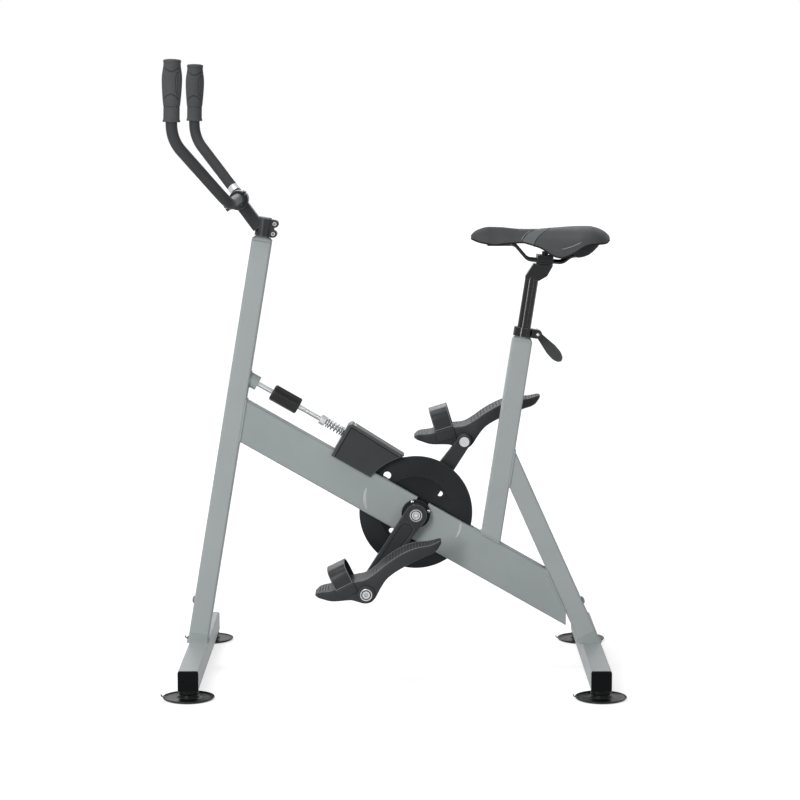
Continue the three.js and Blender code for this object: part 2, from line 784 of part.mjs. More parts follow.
function seatTube() {
  const tubeTop = -shoulderHeight;
  const tube = squareTube(tubeSide, tubeSide, tubeWall, tubeCorner, -baseSpacing, tubeTop);
  const lid = loft([
    squareRing(tubeSide / 2, tubeCorner, tubeTop - tubeWall),
    squareRing(tubeSide / 2, tubeCorner, tubeTop),
    squareRing(tubeSide / 2 - shoulderInset / 2, tubeCorner, -shoulderHeight / 2),
    squareRing(tubeSide / 2 - shoulderInset, tubeCorner + shoulderInset, 0),
  ]);
  const neck = bar(neckRadius, [0, 0, -neckRoot], [0, 0, neckRise], fineSides);
  const bore = bar(postRadius + gap, [0, 0, -neckRoot - overrun], [0, 0, neckRise + overrun], fineSides);
  const slit = block(0, neckRadius + overrun, -slitWidth / 2, slitWidth / 2, gap, neckRise + overrun);
  const beamTop = beamDepth / 2 - beamDrop + gap;
  const foot = beyondFace(seatPlace, beamPlace, 0, beamTop, 0, -1);
  return cut(join(tube, lid, neck), bore, slit, foot);
}

// Corner points of a rounded square, as a ring at one height
function squareRing(half, corner, z) {
  const outline = roundedRectangle(2 * half, 2 * half, corner).extractPoints(cornerSteps).shape;
  const points = outline.filter((p, i) => p.distanceTo(outline.at(i - 1)) > weldTolerance);
  return points.map((p) => new THREE.Vector3(p.x, p.y, z));
}

function rearStay() {
  const tube = squareTube(tubeSide, tubeSide, tubeWall, tubeCorner, collarHeight + gap, baseSpacing);
  const seatFace = beyondFace(stayPlace, seatPlace, tubeSide / 2 + gap, 0, -1, 0);
  return cut(tube, seatFace, boltHole(1));
}

function adjusterBoss() {
  const body = bar(bossRadius, [rodStartX, 0, rodHeight], [bossEndX, 0, rodHeight]);
  const postFace = beyondFace(beamPlace, postPlace, tubeSide / 2 + gap, 0, -1, 0);
  return cut(body, rodBore(rodStartX, bossEndX), postFace);
}

// Clearance for the rod through a piece that reaches from one place along the beam to another
function rodBore(from, to) {
  return bar(rodRadius + gap, [from - overrun, 0, rodHeight], [to + overrun, 0, rodHeight], smallSides);
}

function steererStub() {
  const half = tubeSide / 2;
  const plate = loft([
    squareRing(half, tubeCorner, postLength + gap),
    squareRing(half, tubeCorner, postLength + stubPlateHeight - stubBevel),
    squareRing(half - stubBevel, tubeCorner + stubBevel, postLength + stubPlateHeight),
  ]);
  const top = postLength + stubPlateHeight + steererRise;
  return join(plate, bar(steererRadius, [0, 0, postLength + stubPlateHeight / 2], [0, 0, top]));
}

// Bearings, axle, disc and cranks, about the crank axis

// A turned piece on an axis across the bike: [radius, y] points on the left side, y growing outward
function turnedLeft(points, sides = roundSides) {
  return turned(points, sides).rotateX(quarterTurn);
}

function bearingFlange(side) {
  const inner = tubeSide / 2 + gap;
  const outer = inner + flangeThickness;
  const pocket = outer - bearingWidth - gap;
  const made = turnedLeft([
    [axleRadius + 2 * gap, inner],
    [flangeRadius, inner],
    [flangeRadius, outer - 2 * gap],
    [flangeRadius - 2 * gap, outer],
    [bearingRadius + gap, outer],
    [bearingRadius + gap, pocket],
    [axleRadius + 2 * gap, pocket],
    [axleRadius + 2 * gap, inner],
  ]);
  return side > 0 ? mirrored(made) : made;
}

function crankBearing(side) {
  const outer = tubeSide / 2 + flangeThickness;
  const inner = outer - bearingWidth + gap;
  const made = turnedLeft([
    [axleRadius + gap, inner],
    [bearingRadius, inner],
    [bearingRadius, outer],
    [axleRadius + gap, outer],
    [axleRadius + gap, inner],
  ]);
  return side > 0 ? mirrored(made) : made;
}

function crankAxle() {
  return crossBar(axleRadius, -axleHalfLength, axleHalfLength, 0, 0);
}

// The disc's place turns with the cranks, so its holes are set back by the cranks' own angle
function brakeDisc() {
  const half = discThickness / 2;
  const web = half - discStepDepth;
  const made = turned([
    [axleRadius + gap, -hubHalfLength],
    [hubRadius, -hubHalfLength],
    [hubRadius, -web],
    [discStepRadius - discStepDepth, -web],
    [discStepRadius, -half],
    [discRadius - discStepDepth, -half],
    [discRadius, -half + discStepDepth],
    [discRadius, half - discStepDepth],
    [discRadius - discStepDepth, half],
    [discStepRadius, half],
    [discStepRadius - discStepDepth, web],
    [hubRadius, web],
    [hubRadius, hubHalfLength],
    [axleRadius + gap, hubHalfLength],
    [axleRadius + gap, -hubHalfLength],
  ], discSides).rotateX(quarterTurn);
  const holes = [0, 1, 2, 3].flatMap((i) => {
    const angle = radians(discHoleAngle - crankAngle) + i * quarterTurn;
    const small = discHole(smallHoleRadius, smallHoleCircle, angle);
    return i % 2 ? [small, discHole(bigHoleRadius, bigHoleCircle, angle)] : [small];
  });
  return cut(made, ...holes);
}

function discHole(radius, circle, angle) {
  const x = circle * Math.cos(angle);
  const z = circle * Math.sin(angle);
  return crossBar(radius, -discThickness, discThickness, x, z, smallSides);
}

// Outline that wraps two circles on one axis, the larger at the start
function taperOutline(startX, startRadius, endX, endRadius) {
  const lean = Math.asin((startRadius - endRadius) / (endX - startX));
  const made = new THREE.Shape();
  made.absarc(startX, 0, startRadius, quarterTurn - lean, fullTurn - quarterTurn + lean, false);
  made.absarc(endX, 0, endRadius, -quarterTurn + lean, quarterTurn - lean, false);
  made.closePath();
  return made;
}

function leftCrank() {
  const outer = -crankInnerY - crankThickness;
  const arm = slab(taperOutline(0, crankBossRadius, crankLength, crankTipRadius), outer, -crankInnerY);
  const taper = (crankBossRadius - crankTipRadius) / crankLength;
  const panelEnd = crankLength - crankPanelStart;
  const panelStartRadius = crankBossRadius - taper * crankPanelStart - crankPanelMargin;
  const panelEndRadius = crankTipRadius + taper * crankPanelStart - crankPanelMargin;
  const panelOutline = taperOutline(crankPanelStart, panelStartRadius, panelEnd, panelEndRadius);
  const panel = slab(panelOutline, outer - overrun, outer + crankPanelDepth, cornerSteps);
  const axleBore = crossBar(axleRadius + gap, outer - overrun, -crankInnerY + overrun, 0, 0);
  const capDepth = crankCapThickness + crankCapInset + gap;
  const capBore = crossBar(crankCapRadius + gap, outer - overrun, outer + capDepth, 0, 0);
  const pedalHole = pedalAxleRadius + gap;
  const pedalBore = crossBar(pedalHole, outer - overrun, -crankInnerY + overrun, crankLength, 0);
  return cut(arm, panel, axleBore, capBore, pedalBore);
}

// Bolt cap at the middle of the left crank; it clamps the crank on the axle's end
function leftCrankBolt() {
  const outer = -crankInnerY - crankThickness + crankCapInset;
  const inner = outer + crankCapThickness;
  const cap = crossBar(crankCapRadius, outer, Math.min(inner, -axleHalfLength - gap), 0, 0);
  return cut(cap, crossBar(capSocketRadius, outer - overrun, outer + capSocketDepth, 0, 0, hexSides));
}

function leftPedalAxle() {
  const inner = crankInnerY - gap;
  const hubEnd = pedalMidY + pedalHalfWidth + pedalBossRise + gap;
  const made = turnedLeft([
    [0, inner - pedalNutThickness],
    [pedalNutRadius, inner - pedalNutThickness],
    [pedalNutRadius, inner],
    [pedalAxleRadius, inner],
    [pedalAxleRadius, hubEnd],
    [pedalWasherRadius, hubEnd],
    [pedalWasherRadius, hubEnd + pedalWasherThickness],
    [pedalSocketRadius, hubEnd + pedalWasherThickness],
    [pedalSocketRadius, hubEnd + pedalWasherThickness - pedalSocketDepth],
    [0, hubEnd + pedalWasherThickness - pedalSocketDepth],
  ]);
  return made.translate(crankLength, 0, 0);
}

// Pedal and strap, about the pedal axle, with the toe forward

// Section of the pedal at one share of its length, drawn in by an inset all round and deepened below
function pedalRing(share, inset, deepen) {
  const x = -pedalToeLength + share * pedalLength;
  const top = readShares(treadShares, share) * pedalRise - inset;
  const bottom = readShares(soleShares, share) * pedalRise - deepen;
  const half = readShares(pedalPlanShares, share) * pedalHalfWidth - inset;
  const round = Math.min(pedalCorner, half / 2, (top - bottom) * pedalCornerShare);
  const dish = Math.min(pedalDish, (top - bottom) * pedalDishShare);
  return [
    [-half, bottom + round], [-half + round, bottom], [0, bottom], [half - round, bottom],
    [half, bottom + round], [half, top - round], [half - round, top], [half / 2, top - dish],
    [0, top - dish], [-half / 2, top - dish], [-half + round, top], [-half, top - round],
  ].map(([y, z]) => new THREE.Vector3(x, -pedalMidY + y, z));
}

function leftPedal() {
  const body = loft(pedalRingShares.map((share) => pedalRing(share, 0, 0)));
  const hollow = loft(pedalHollowShares.map((share) => pedalRing(share, pedalSkin, overrun)));
  const inner = -crankInnerY - crankThickness - gap;
  const outer = -pedalMidY - pedalHalfWidth;
  const hub = crossBar(pedalHubRadius, outer, inner - gap, 0, 0);
  const boss = crossBar(pedalBossRadius, outer - pedalBossRise, outer + pedalSkin, 0, 0);
  const bore = crossBar(pedalAxleRadius + gap, outer - overrun, inner + overrun, 0, 0);
  return cut(join(cut(body, hollow), hub, boss), bore);
}

function leftStrap(height) {
  const seatShare = (strapSeatShares[0] + strapSeatShares[1]) / 2;
  const inner = readShares(pedalPlanShares, seatShare) * pedalHalfWidth + gap;
  const outer = inner + strapThickness;
  const loop = (half, top) => {
    const made = new THREE.Shape();
    const corner = half * strapCornerShare;
    made.moveTo(-half, 0);
    made.lineTo(-half, top - corner);
    made.quadraticCurveTo(-half, top, -half + corner, top + strapCrown / 2);
    made.quadraticCurveTo(0, top + strapCrown, half - corner, top + strapCrown / 2);
    made.quadraticCurveTo(half, top, half, top - corner);
    made.lineTo(half, 0);
    made.closePath();
    return made;
  };
  const top = height - strapCrown;
  const options = { depth: strapWidth, bevelEnabled: false, curveSegments: strapSteps };
  const outside = new THREE.ExtrudeGeometry(loop(outer, top), options);
  const longer = { ...options, depth: strapWidth + 2 * overrun };
  const inside = new THREE.ExtrudeGeometry(loop(inner, top - strapThickness), longer);
  inside.translate(0, 0, -overrun);
  const below = block(-inner, inner, -overrun, overrun, -overrun, strapWidth + overrun);
  const made = geometryOf(cut(outside, inside, below));
  made.translate(0, 0, -strapWidth / 2).rotateY(quarterTurn).rotateX(quarterTurn);
  made.rotateY(-radians(strapLean));
  return made.translate(strapFootAlong, -pedalMidY, strapFootUp);
}

// Brake, along the beam

// Outline of the cover without its arc, drawn in by a wall and carried down below its lower edge
function coverOutline(wall, below) {
  const made = new THREE.Shape();
  const bottom = coverEdgeHeight - below;
  made.moveTo(coverFrontX + wall, bottom);
  made.lineTo(0, bottom);
  made.lineTo(0, coverTopHeight - wall);
  const cornerX = coverFrontX + coverCorner;
  const cornerZ = coverTopHeight - coverCorner;
  made.absarc(cornerX, cornerZ, coverCorner - wall, quarterTurn, Math.PI, false);
  made.closePath();
  return made;
}

function brakeCover() {
  const arcRadius = discRadius + coverDiscGap;
  const inner = coverHalfWidth - coverWall;
  const body = slab(coverOutline(0, 0), -coverHalfWidth, coverHalfWidth, bendSteps);
  const hollow = slab(coverOutline(coverWall, overrun), -inner, inner, cornerSteps);
  const arc = crossBar(arcRadius, -tubeSide, tubeSide, 0, 0, discSides);
  const innerArc = crossBar(arcRadius + coverWall, -tubeSide, tubeSide, 0, 0, discSides);
  const beamTop = beamDepth / 2 - beamDrop;
  const beamHalf = tubeSide / 2 + gap;
  const straddle = block(coverFrontX - overrun, 0, -beamHalf, beamHalf, 0, beamTop + gap);
  const [holeStart, holeEnd] = [coverFrontX - overrun, coverFrontX + overrun];
  const rodHole = bar(rodRadius + 2 * gap, [holeStart, 0, rodHeight], [holeEnd, 0, rodHeight]);
  const padHalf = padHalfWidth + gap;
  const padDoor = block(-arcRadius - overrun, 0, -padHalf, padHalf, beamTop, blockTopHeight + gap);
  return cut(body, arc, cut(hollow, innerArc), straddle, rodHole, padDoor);
}

// Cast block that carries the pad and guides the rod's end, seated on the beam under the cover
function brakeBlock() {
  const seat = beamDepth / 2 - beamDrop + gap;
  const faceRadius = discRadius + padGap + padThickness + gap;
  const outline = polygon([
    [blockFrontX, seat],
    [-faceRadius, seat],
    [0, seat],
    [0, blockTopHeight],
    [blockFrontX, blockTopHeight],
  ]);
  const half = blockHalfWidth;
  const body = slab(outline, -half, half);
  const face = crossBar(faceRadius, -tubeSide, tubeSide, 0, 0, shoeSides);
  const rear = block(blockRearX, overrun, -tubeSide, tubeSide, 0, coverTopHeight);
  const door = discRadius + coverDiscGap + coverWall + gap;
  const cheeks = [-1, 1].map((side) => {
    const [y0, y1] = side < 0 ? [-half - overrun, -padHalfWidth] : [padHalfWidth, half + overrun];
    return crossBar(door, y0, y1, 0, 0, shoeSides);
  });
  return cut(body, face, rear, rodBore(blockFrontX, rodEndX + rodRadius), ...cheeks);
}

function brakePad() {
  const inner = discRadius + padGap;
  const low = Math.asin(padEdgeHeight / inner);
  const high = Math.asin((blockTopHeight - coverCorner) / inner);
  const made = new THREE.Shape();
  made.absarc(0, 0, inner, Math.PI - low, Math.PI - high, true);
  made.absarc(0, 0, inner + padThickness, Math.PI - high, Math.PI - low, false);
  made.closePath();
  return slab(made, -padHalfWidth + gap, padHalfWidth - gap, strapSteps);
}

function tensionRod() {
  return bar(rodRadius, [rodStartX, 0, rodHeight], [rodEndX, 0, rodHeight], smallSides);
}

function tensionNut() {
  const body = bar(nutRadius, [nutStartX, 0, rodHeight], [nutEndX, 0, rodHeight], hexSides);
  return cut(body, rodBore(nutStartX, nutEndX));
}

// Knob with flutes along it: the radius swings between its largest and its flutes' bottom
function tensionKnob() {
  const steps = knobFlutes * knobFluteSteps;
  const points = Array.from({ length: steps }, (_, i) => {
    const angle = (i / steps) * fullTurn;
    const swing = (1 + Math.cos(knobFlutes * angle)) / 2;
    const radius = knobRadius - knobFluteDepth * swing * swing;
    return [radius * Math.cos(angle), radius * Math.sin(angle)];
  });
  const options = { depth: knobLength, bevelEnabled: false };
  const body = new THREE.ExtrudeGeometry(polygon(points), options).rotateY(quarterTurn);
  body.translate(knobStartX, 0, rodHeight);
  return cut(body, rodBore(knobStartX, knobStartX + knobLength));
}

// Unbroken spring of round wire about the rod; each end runs straight along it for one wire's thickness
function tensionSpring() {
  const from = nutEndX + gap;
  const to = coverFrontX - gap;
  const steps = springCurls * springCurlSteps;
  const coilFrom = from + springWire;
  const coilTo = to - springWire;
  const around = (i) => {
    const angle = (i / springCurlSteps) * fullTurn;
    const x = coilFrom + ((coilTo - coilFrom) * i) / steps;
    const z = rodHeight + springRadius * Math.sin(angle);
    return new THREE.Vector3(x, springRadius * Math.cos(angle), z);
  };
  const points = Array.from({ length: steps + 1 }, (_, i) => around(i));
  points.unshift(new THREE.Vector3(from, springRadius, rodHeight));
  points.push(new THREE.Vector3(to, points.at(-1).y, points.at(-1).z));
  printLeastGap(points);
  return wire(points, springWire / 2, springWireSides);
}

// Least gap between curls that are not next to each other along the wire
function printLeastGap(points) {
  let least = Infinity;
  for (let i = 0; i < points.length; i++) {
    for (let j = i + springCurlSteps / 2; j < points.length; j++) {
      least = Math.min(least, points[i].distanceTo(points[j]) - springWire);
    }
  }
  console.log(`least gap between the spring's curls: ${least.toFixed(2)} mm`);
}

// Seat clamp, skewer and lever, about the seat tube's top

function seatClamp() {
  const inner = neckRadius + gap;
  const outer = inner + clampWall;
  const top = clampRise + clampHeight;
  const low = clampRise - overrun;
  const high = top + overrun;
  const ring = bar(outer, [0, 0, clampRise], [0, 0, top], fineSides);
  const ears = join(
    block(inner, skewerOut, -earOuter, earOuter, clampRise, top),
    crossBar(clampHeight / 2, -earOuter, earOuter, skewerOut, skewerMiddle),
  );
  const bore = bar(inner, [0, 0, low], [0, 0, high], fineSides);
  const slit = block(0, skewerOut + clampHeight / 2 + overrun, -earGap / 2, earGap / 2, low, high);
  const hole = crossBar(skewerRadius + gap, -tubeSide, tubeSide, skewerOut, skewerMiddle, smallSides);
  return cut(join(ring, ears), bore, slit, hole);
}

// Skewer across the clamp's ears: nut on the left, eye for the lever's pin on the right
function clampSkewer() {
  const nutIn = -earOuter - gap;
  const shaft = crossBar(skewerRadius, nutIn, leverPivotY, 0, 0, smallSides);
  const nut = crossBar(skewerNutRadius, nutIn - skewerNutThickness, nutIn, 0, 0, smallSides);
  const eyeHalf = leverFork / 2 - gap;
  const eye = bar(eyeRadius, [0, leverPivotY, -eyeHalf], [0, leverPivotY, eyeHalf], smallSides);
  const pinEnds = [[0, leverPivotY, -tubeSide], [0, leverPivotY, tubeSide]];
  return cut(join(shaft, nut, eye), bar(leverPinRadius + gap, ...pinEnds, smallSides));
}

// Lever along its own +X: a fork with a pin round the skewer's eye, and a paddle
function clampLever() {
  const half = leverHeadWidth / 2;
  const head = bar(leverCheekRadius, [0, leverPivotY, -half], [0, leverPivotY, half]);
  const [forkFront, forkRear] = [-leverCheekRadius - overrun, eyeRadius + gap];
  const fork = block(forkFront, forkRear, 0, leverPivotY + tubeSide, -leverFork / 2, leverFork / 2);
  const pin = bar(leverPinRadius, [0, leverPivotY, -half], [0, leverPivotY, half], smallSides);
  const wide = leverWidth / 2;
  const narrow = leverRootWidth / 2;
  const made = new THREE.Shape();
  made.moveTo(eyeRadius + gap, -narrow);
  made.bezierCurveTo(leverLength / 2, -narrow, leverLength / 2, -wide, leverLength - wide, -wide);
  made.absarc(leverLength - wide, 0, wide, -quarterTurn, quarterTurn, false);
  made.bezierCurveTo(leverLength / 2, wide, leverLength / 2, narrow, eyeRadius + gap, narrow);
  made.closePath();
  const paddleY = leverPivotY + leverCheekRadius - leverThickness;
  const paddle = slab(made, paddleY, paddleY + leverThickness, paddleSteps);
  return join(cut(head, fork), pin, paddle);
}

// Seatpost, rail clamp and saddle

function seatpost() {
  const tube = bar(postRadius, [0, 0, -seatpostBelow], [0, 0, seatpostAbove], fineSides);
  const [hollowStart, hollowEnd] = [-seatpostBelow - overrun, seatpostAbove - overrun];
  const hollow = bar(postRadius - postWall, [0, 0, hollowStart], [0, 0, hollowEnd]);
  const corner = (x, z) => into(seatPlace, ...outOf(railPlace, x, z));
  const outline = polygon([
    [-headFootLength, seatpostAbove],
    corner(-headTopFront, -headTopDrop / 2),
    corner(headTopRear, -headTopDrop / 2),
    corner(headTopRear - headRearInset, -headTopDrop - headRearDrop),
    [headFootLength, seatpostAbove - overrun],
    [-headFootLength, seatpostAbove - overrun],
  ]);
  const head = slab(outline, -headHalfWidth, headHalfWidth);
  const [tiltX, tiltZ] = corner(0, tiltRadius - headTopDrop);
  const seatCut = crossBar(tiltRadius, -tubeSide, tubeSide, tiltX, tiltZ, seatSides);
  const pocketHalf = railBoltRadius + 2 * gap;
  const pocketFloor = -headTopDrop - tiltPocketDepth;
  const pocketEnd = tiltPocketLength / 2;
  const pocket = block(-pocketEnd, pocketEnd, -pocketHalf, pocketHalf, pocketFloor, 0);
  pocket.rotateY(railPlace.turn - seatPlace.turn);
  const [middleX, middleZ] = corner(0, 0);
  pocket.translate(middleX, 0, middleZ);
  return cut(join(cut(tube, hollow), head), seatCut, pocket);
}

function railGroove(side) {
  const y = side * railHalfGauge;
  return bar(railRadius + gap, [-tubeSide, y, 0], [tubeSide, y, 0], smallSides);
}

// Lower half of the rail clamp, round below so that it rocks on the post's head
function railCradle() {
  const length = cradleHalfLength;
  const width = cradleHalfWidth;
  const body = block(-length, length, -width, width, -2 * headTopDrop, -clampSplit / 2);
  const rockerZ = tiltRadius - headTopDrop;
  const rocker = crossBar(tiltRadius - gap, -tubeSide, tubeSide, 0, rockerZ, seatSides);
  const trimmed = solid(body).intersect(solid(rocker));
  const wings = [-1, 1].map((side) => {
    const [y0, y1] = side < 0 ? [-tubeSide, -headHalfWidth - gap] : [headHalfWidth + gap, tubeSide];
    return block(-length - overrun, length + overrun, y0, y1, -tubeSide, -railRadius - cradleFloor);
  });
  const bolt = bar(railBoltRadius + gap, [0, 0, -tubeSide], [0, 0, tubeSide], smallSides);
  return cut(trimmed, railGroove(-1), railGroove(1), bolt, ...wings);
}

function railPlate() {
  const length = cradleHalfLength;
  const width = cradleHalfWidth;
  const body = block(-length, length, -width, width, clampSplit / 2, plateHeight);
  const bolt = bar(railBoltRadius + gap, [0, 0, -tubeSide], [0, 0, tubeSide], smallSides);
  return cut(body, railGroove(-1), railGroove(1), bolt);
}

function railBolt() {
  const low = -headTopDrop - railBoltHang;
  const seat = plateHeight + gap;
  const shaft = bar(railBoltRadius, [0, 0, low], [0, 0, seat + railNutHeight / 2], smallSides);
  return join(shaft, bar(railNutRadius, [0, 0, seat], [0, 0, seat + railNutHeight], hexSides));
}

// Section of the cushion at one share of the saddle's length: crown above, hollow below
function cushionRing(share) {
  const x = -saddleNoseLength + share * saddleLength;
  const ridge = readShares(ridgeShares, share) * saddleRise;
  const edge = readShares(edgeShares, share) * saddleRise;
  const half = readShares(saddlePlanShares, share) * saddleHalfWidth;
  const core = Math.min(cushionCore, (ridge - edge) * cushionCoreShare);
  const swell = (t) => Math.pow(1 - Math.pow(Math.abs(t), crownFlatPower), crownRoundPower);
  const crown = (t) => edge + (ridge - edge) * swell(t);
  const under = (t) => crown(t) - core * (1 - t * t) - cushionLip * t * t;
  const above = crownShares.map((t) => [t * half, crown(t)]);
  const inner = crownShares.slice(1, -1).reverse();
  const below = inner.map((t) => [t * half * cushionUnderShare, under(t)]);
  return [...above, ...below].map(([y, z]) => new THREE.Vector3(x, y, z));
}

function saddleCushion() {
  return loft(cushionRingShares.map(cushionRing));
}

// Plate of the shell, under the cushion's hollow
function shellPlate() {
  const rings = shellRingShares.map((share) => {
    const hollow = cushionRing(share).slice(crownShares.length).reverse();
    const place = (p, drop) => new THREE.Vector3(p.x, p.y * shellWidthShare, p.z - gap - drop);
    const top = hollow.map((p) => place(p, 0));
    const bottom = hollow.map((p) => place(p, shellThickness)).reverse();
    return [...top, ...bottom];
  });
  return loft(rings);
}

// Moulded shell: the plate, with a nose block and two tail blocks that hold the rails' ends
function saddleShell() {
  const half = noseBlockHalfWidth;
  const nose = block(noseBlockFront, noseBlockRear, -half, half, noseBlockHeight, holderTopHeight);
  const tailOutline = polygon([
    [tailBlockFront, tailBlockHeight],
    [(tailBlockFront + tailBlockRear) / 2, tailBlockHeight],
    [tailBlockRear, tailBlockHeight + tailBlockTilt],
    [tailBlockRear, holderTopHeight],
    [tailBlockFront, holderTopHeight],
  ]);
  const leftTail = slab(tailOutline, -tailBlockOuterY, -tailBlockInnerY);
  const rightTail = slab(tailOutline, tailBlockInnerY, tailBlockOuterY);
  const body = join(shellPlate(), nose, leftTail, rightTail);
  const cushionSpace = saddleCushion().translate(0, 0, -gap);
  return cut(body, cushionSpace, railWire(railRadius + gap, gap));
}

// One rod bent to a hairpin round the nose; its ends run into the tail blocks
function railWire(radius, extra) {
  const slopeZ = (x) => -x * Math.tan(radians(railSlope));
  const half = [
    [tailBlockFront + railInBlock + extra, railHalfGauge, railTailZ],
    [tailBlockFront - railTrim, railHalfGauge, railTailZ],
    [railRearX, railHalfGauge, slopeZ(railRearX)],
    [railFrontX, railHalfGauge, slopeZ(railFrontX)],
    [railDropX, railHalfGauge, railDropZ],
    [railNoseX, railNoseHalfGauge, railNoseZ],
  ];
  const corners = [...half, ...half.map(([x, y, z]) => [x, -y, z]).reverse()];
  const points = corners.map((p) => new THREE.Vector3(...p));
  const trims = corners.map(() => railTrim);
  return wire(bentLine(points, trims, railBendSteps), radius, railSides);
}

// Stem, faceplate, handlebar and grips

const stemStart = postLength + stubPlateHeight + stemClampStart;
const neckStart = [-stemNeckAhead, stemStart + stemClampHeight / 2 - stemNeckDrop];
const [neckX, neckZ] = outOf(postPlace, ...neckStart);
const stemTurn = Math.atan2(barZ - neckZ, barX - neckX);
const stemPlace = { x: barX, z: barZ, turn: -stemTurn };

function stem() {
  const top = stemStart + stemClampHeight;
  const clamp = bar(stemClampRadius, [0, 0, stemStart], [0, 0, top], fineSides);
  const ears = block(0, stemEarOut, -stemEarHalfWidth, stemEarHalfWidth, stemStart, top);
  const [startX, startZ] = neckStart;
  const [endX, endZ] = [-barAhead, postLength + barRise];
  const length = Math.hypot(endX - startX, endZ - startZ);
  const angle = Math.atan2(endZ - startZ, endX - startX);
  const neckHalf = stemNeckHalfWidth;
  const neck = block(0, length, -neckHalf, neckHalf, -stemNeckHalfHeight, stemNeckHalfHeight);
  neck.rotateY(-angle).translate(startX, 0, startZ);
  const half = stemBarHalfWidth;
  const head = crossBar(stemHeadRadius, -half, half, endX, endZ, fineSides);
  const ear = block(-faceplateEarThickness, 0, -half, half, 0, lowerEarOut);
  ear.rotateY(-angle).translate(endX, 0, endZ);
  const bore = bar(steererRadius + gap, [0, 0, stemStart - overrun], [0, 0, top + overrun], fineSides);
  const barBore = crossBar(barBulgeRadius + gap, -tubeSide, tubeSide, endX, endZ, fineSides);
  const backX = endX - gap * Math.cos(angle);
  const backZ = endZ - gap * Math.sin(angle);
  const front = beyond(backX, backZ, Math.cos(angle), Math.sin(angle));
  const slitEnd = stemEarOut + overrun;
  const slit = block(0, slitEnd, -stemSlit / 2, stemSlit / 2, stemStart - overrun, top + overrun);
  const holes = pinchHeights().map((z) => {
    return crossBar(pinchRadius + gap, -tubeSide, tubeSide, pinchOut, z, smallSides);
  });
  return cut(join(clamp, ears, neck, head, ear), bore, barBore, front, slit, ...holes);
}

function pinchHeights() {
  const middle = stemStart + stemClampHeight / 2;
  return [middle - pinchSpacing / 2, middle + pinchSpacing / 2];
}

function pinchBolt(z) {
  const seat = -stemEarHalfWidth - gap;
  const middle = seat - pinchHeadHeight / 2;
  const shaft = crossBar(pinchRadius, middle, stemEarHalfWidth, pinchOut, z, smallSides);
  const head = crossBar(pinchHeadRadius, seat - pinchHeadHeight, seat, pinchOut, z, smallSides);
  return join(shaft, head);
}

// Front half of the handlebar clamp, about the handlebar's middle, with its ears above and below
function stemFaceplate() {
  const half = stemBarHalfWidth;
  const ring = crossBar(stemBarRadius, -half, half, 0, 0, fineSides);
  const ears = block(0, faceplateEarThickness, -half, half, -upperEarOut, lowerEarOut);
  const bore = crossBar(barBulgeRadius + gap, -tubeSide, tubeSide, 0, 0, fineSides);
  return cut(join(ring, ears), bore, beyond(gap, 0, -1, 0));
}

// Centre line of the handlebar: two bends on each side, the upper ends inside the grips
function barLine(steps, drawnIn) {
  const top = outOf(gripPlace, 0, gripLength - gripCap - gap + drawnIn);
  const horn = outOf(gripPlace, 0, -hornDrop);
  const half = [
    [top[0], hornY, top[1]],
    [horn[0], hornY, horn[1]],
    [barX - elbowAhead, elbowY, barZ - elbowDrop],
    [barX, barTaperEnd + sweepTrim, barZ],
  ];
  const corners = [...half, ...half.map(([x, y, z]) => [x, -y, z]).reverse()];
  const trims = [hornTrim, elbowTrim, sweepTrim, sweepTrim, elbowTrim, hornTrim];
  return bentLine(corners.map((p) => new THREE.Vector3(...p)), trims, steps);
}

function handlebar() {
  const bulge = turnedLeft([
    [0, -barTaperEnd],
    [barRadius - gap, -barTaperEnd],
    [barBulgeRadius, -barBulgeHalfLength],
    [barBulgeRadius, barBulgeHalfLength],
    [barRadius - gap, barTaperEnd],
    [0, barTaperEnd],
  ]);
  const body = join(wire(barLine(bendSteps, 0), barRadius, wireSides), bulge.translate(barX, 0, barZ));
  return cut(body, wire(barLine(railBendSteps, overrun), barRadius - barWall, railSides));
}

function grip() {
  const outline = gripShares.map(([along, out]) => [out * gripRadius, along * gripLength]);
  const bore = barRadius + gap;
  const depth = gripLength - gripCap;
  return turned([[bore, 0], ...outline, [0, gripLength], [0, depth], [bore, depth], [bore, 0]]);
}

// The bike, put together

const bike = new THREE.Group();
bike.add(baseBar(frontBarX, "front_base_bar"), baseBar(rearBarX, "rear_base_bar"));

for (const [end, x] of [["front", frontBarX], ["rear", rearBarX]]) {
  for (const [hand, side] of [["left", -1], ["right", 1]]) {
    const cap = mesh(`${end}_${hand}_end_cap`, endCap(side), blackPlastic);
    cap.position.x = x;
    const foot = mesh(`${end}_${hand}_foot`, suctionFoot(), blackPlastic);
    foot.position.set(x, side * footY, 0);
    bike.add(cap, foot);
  }
}

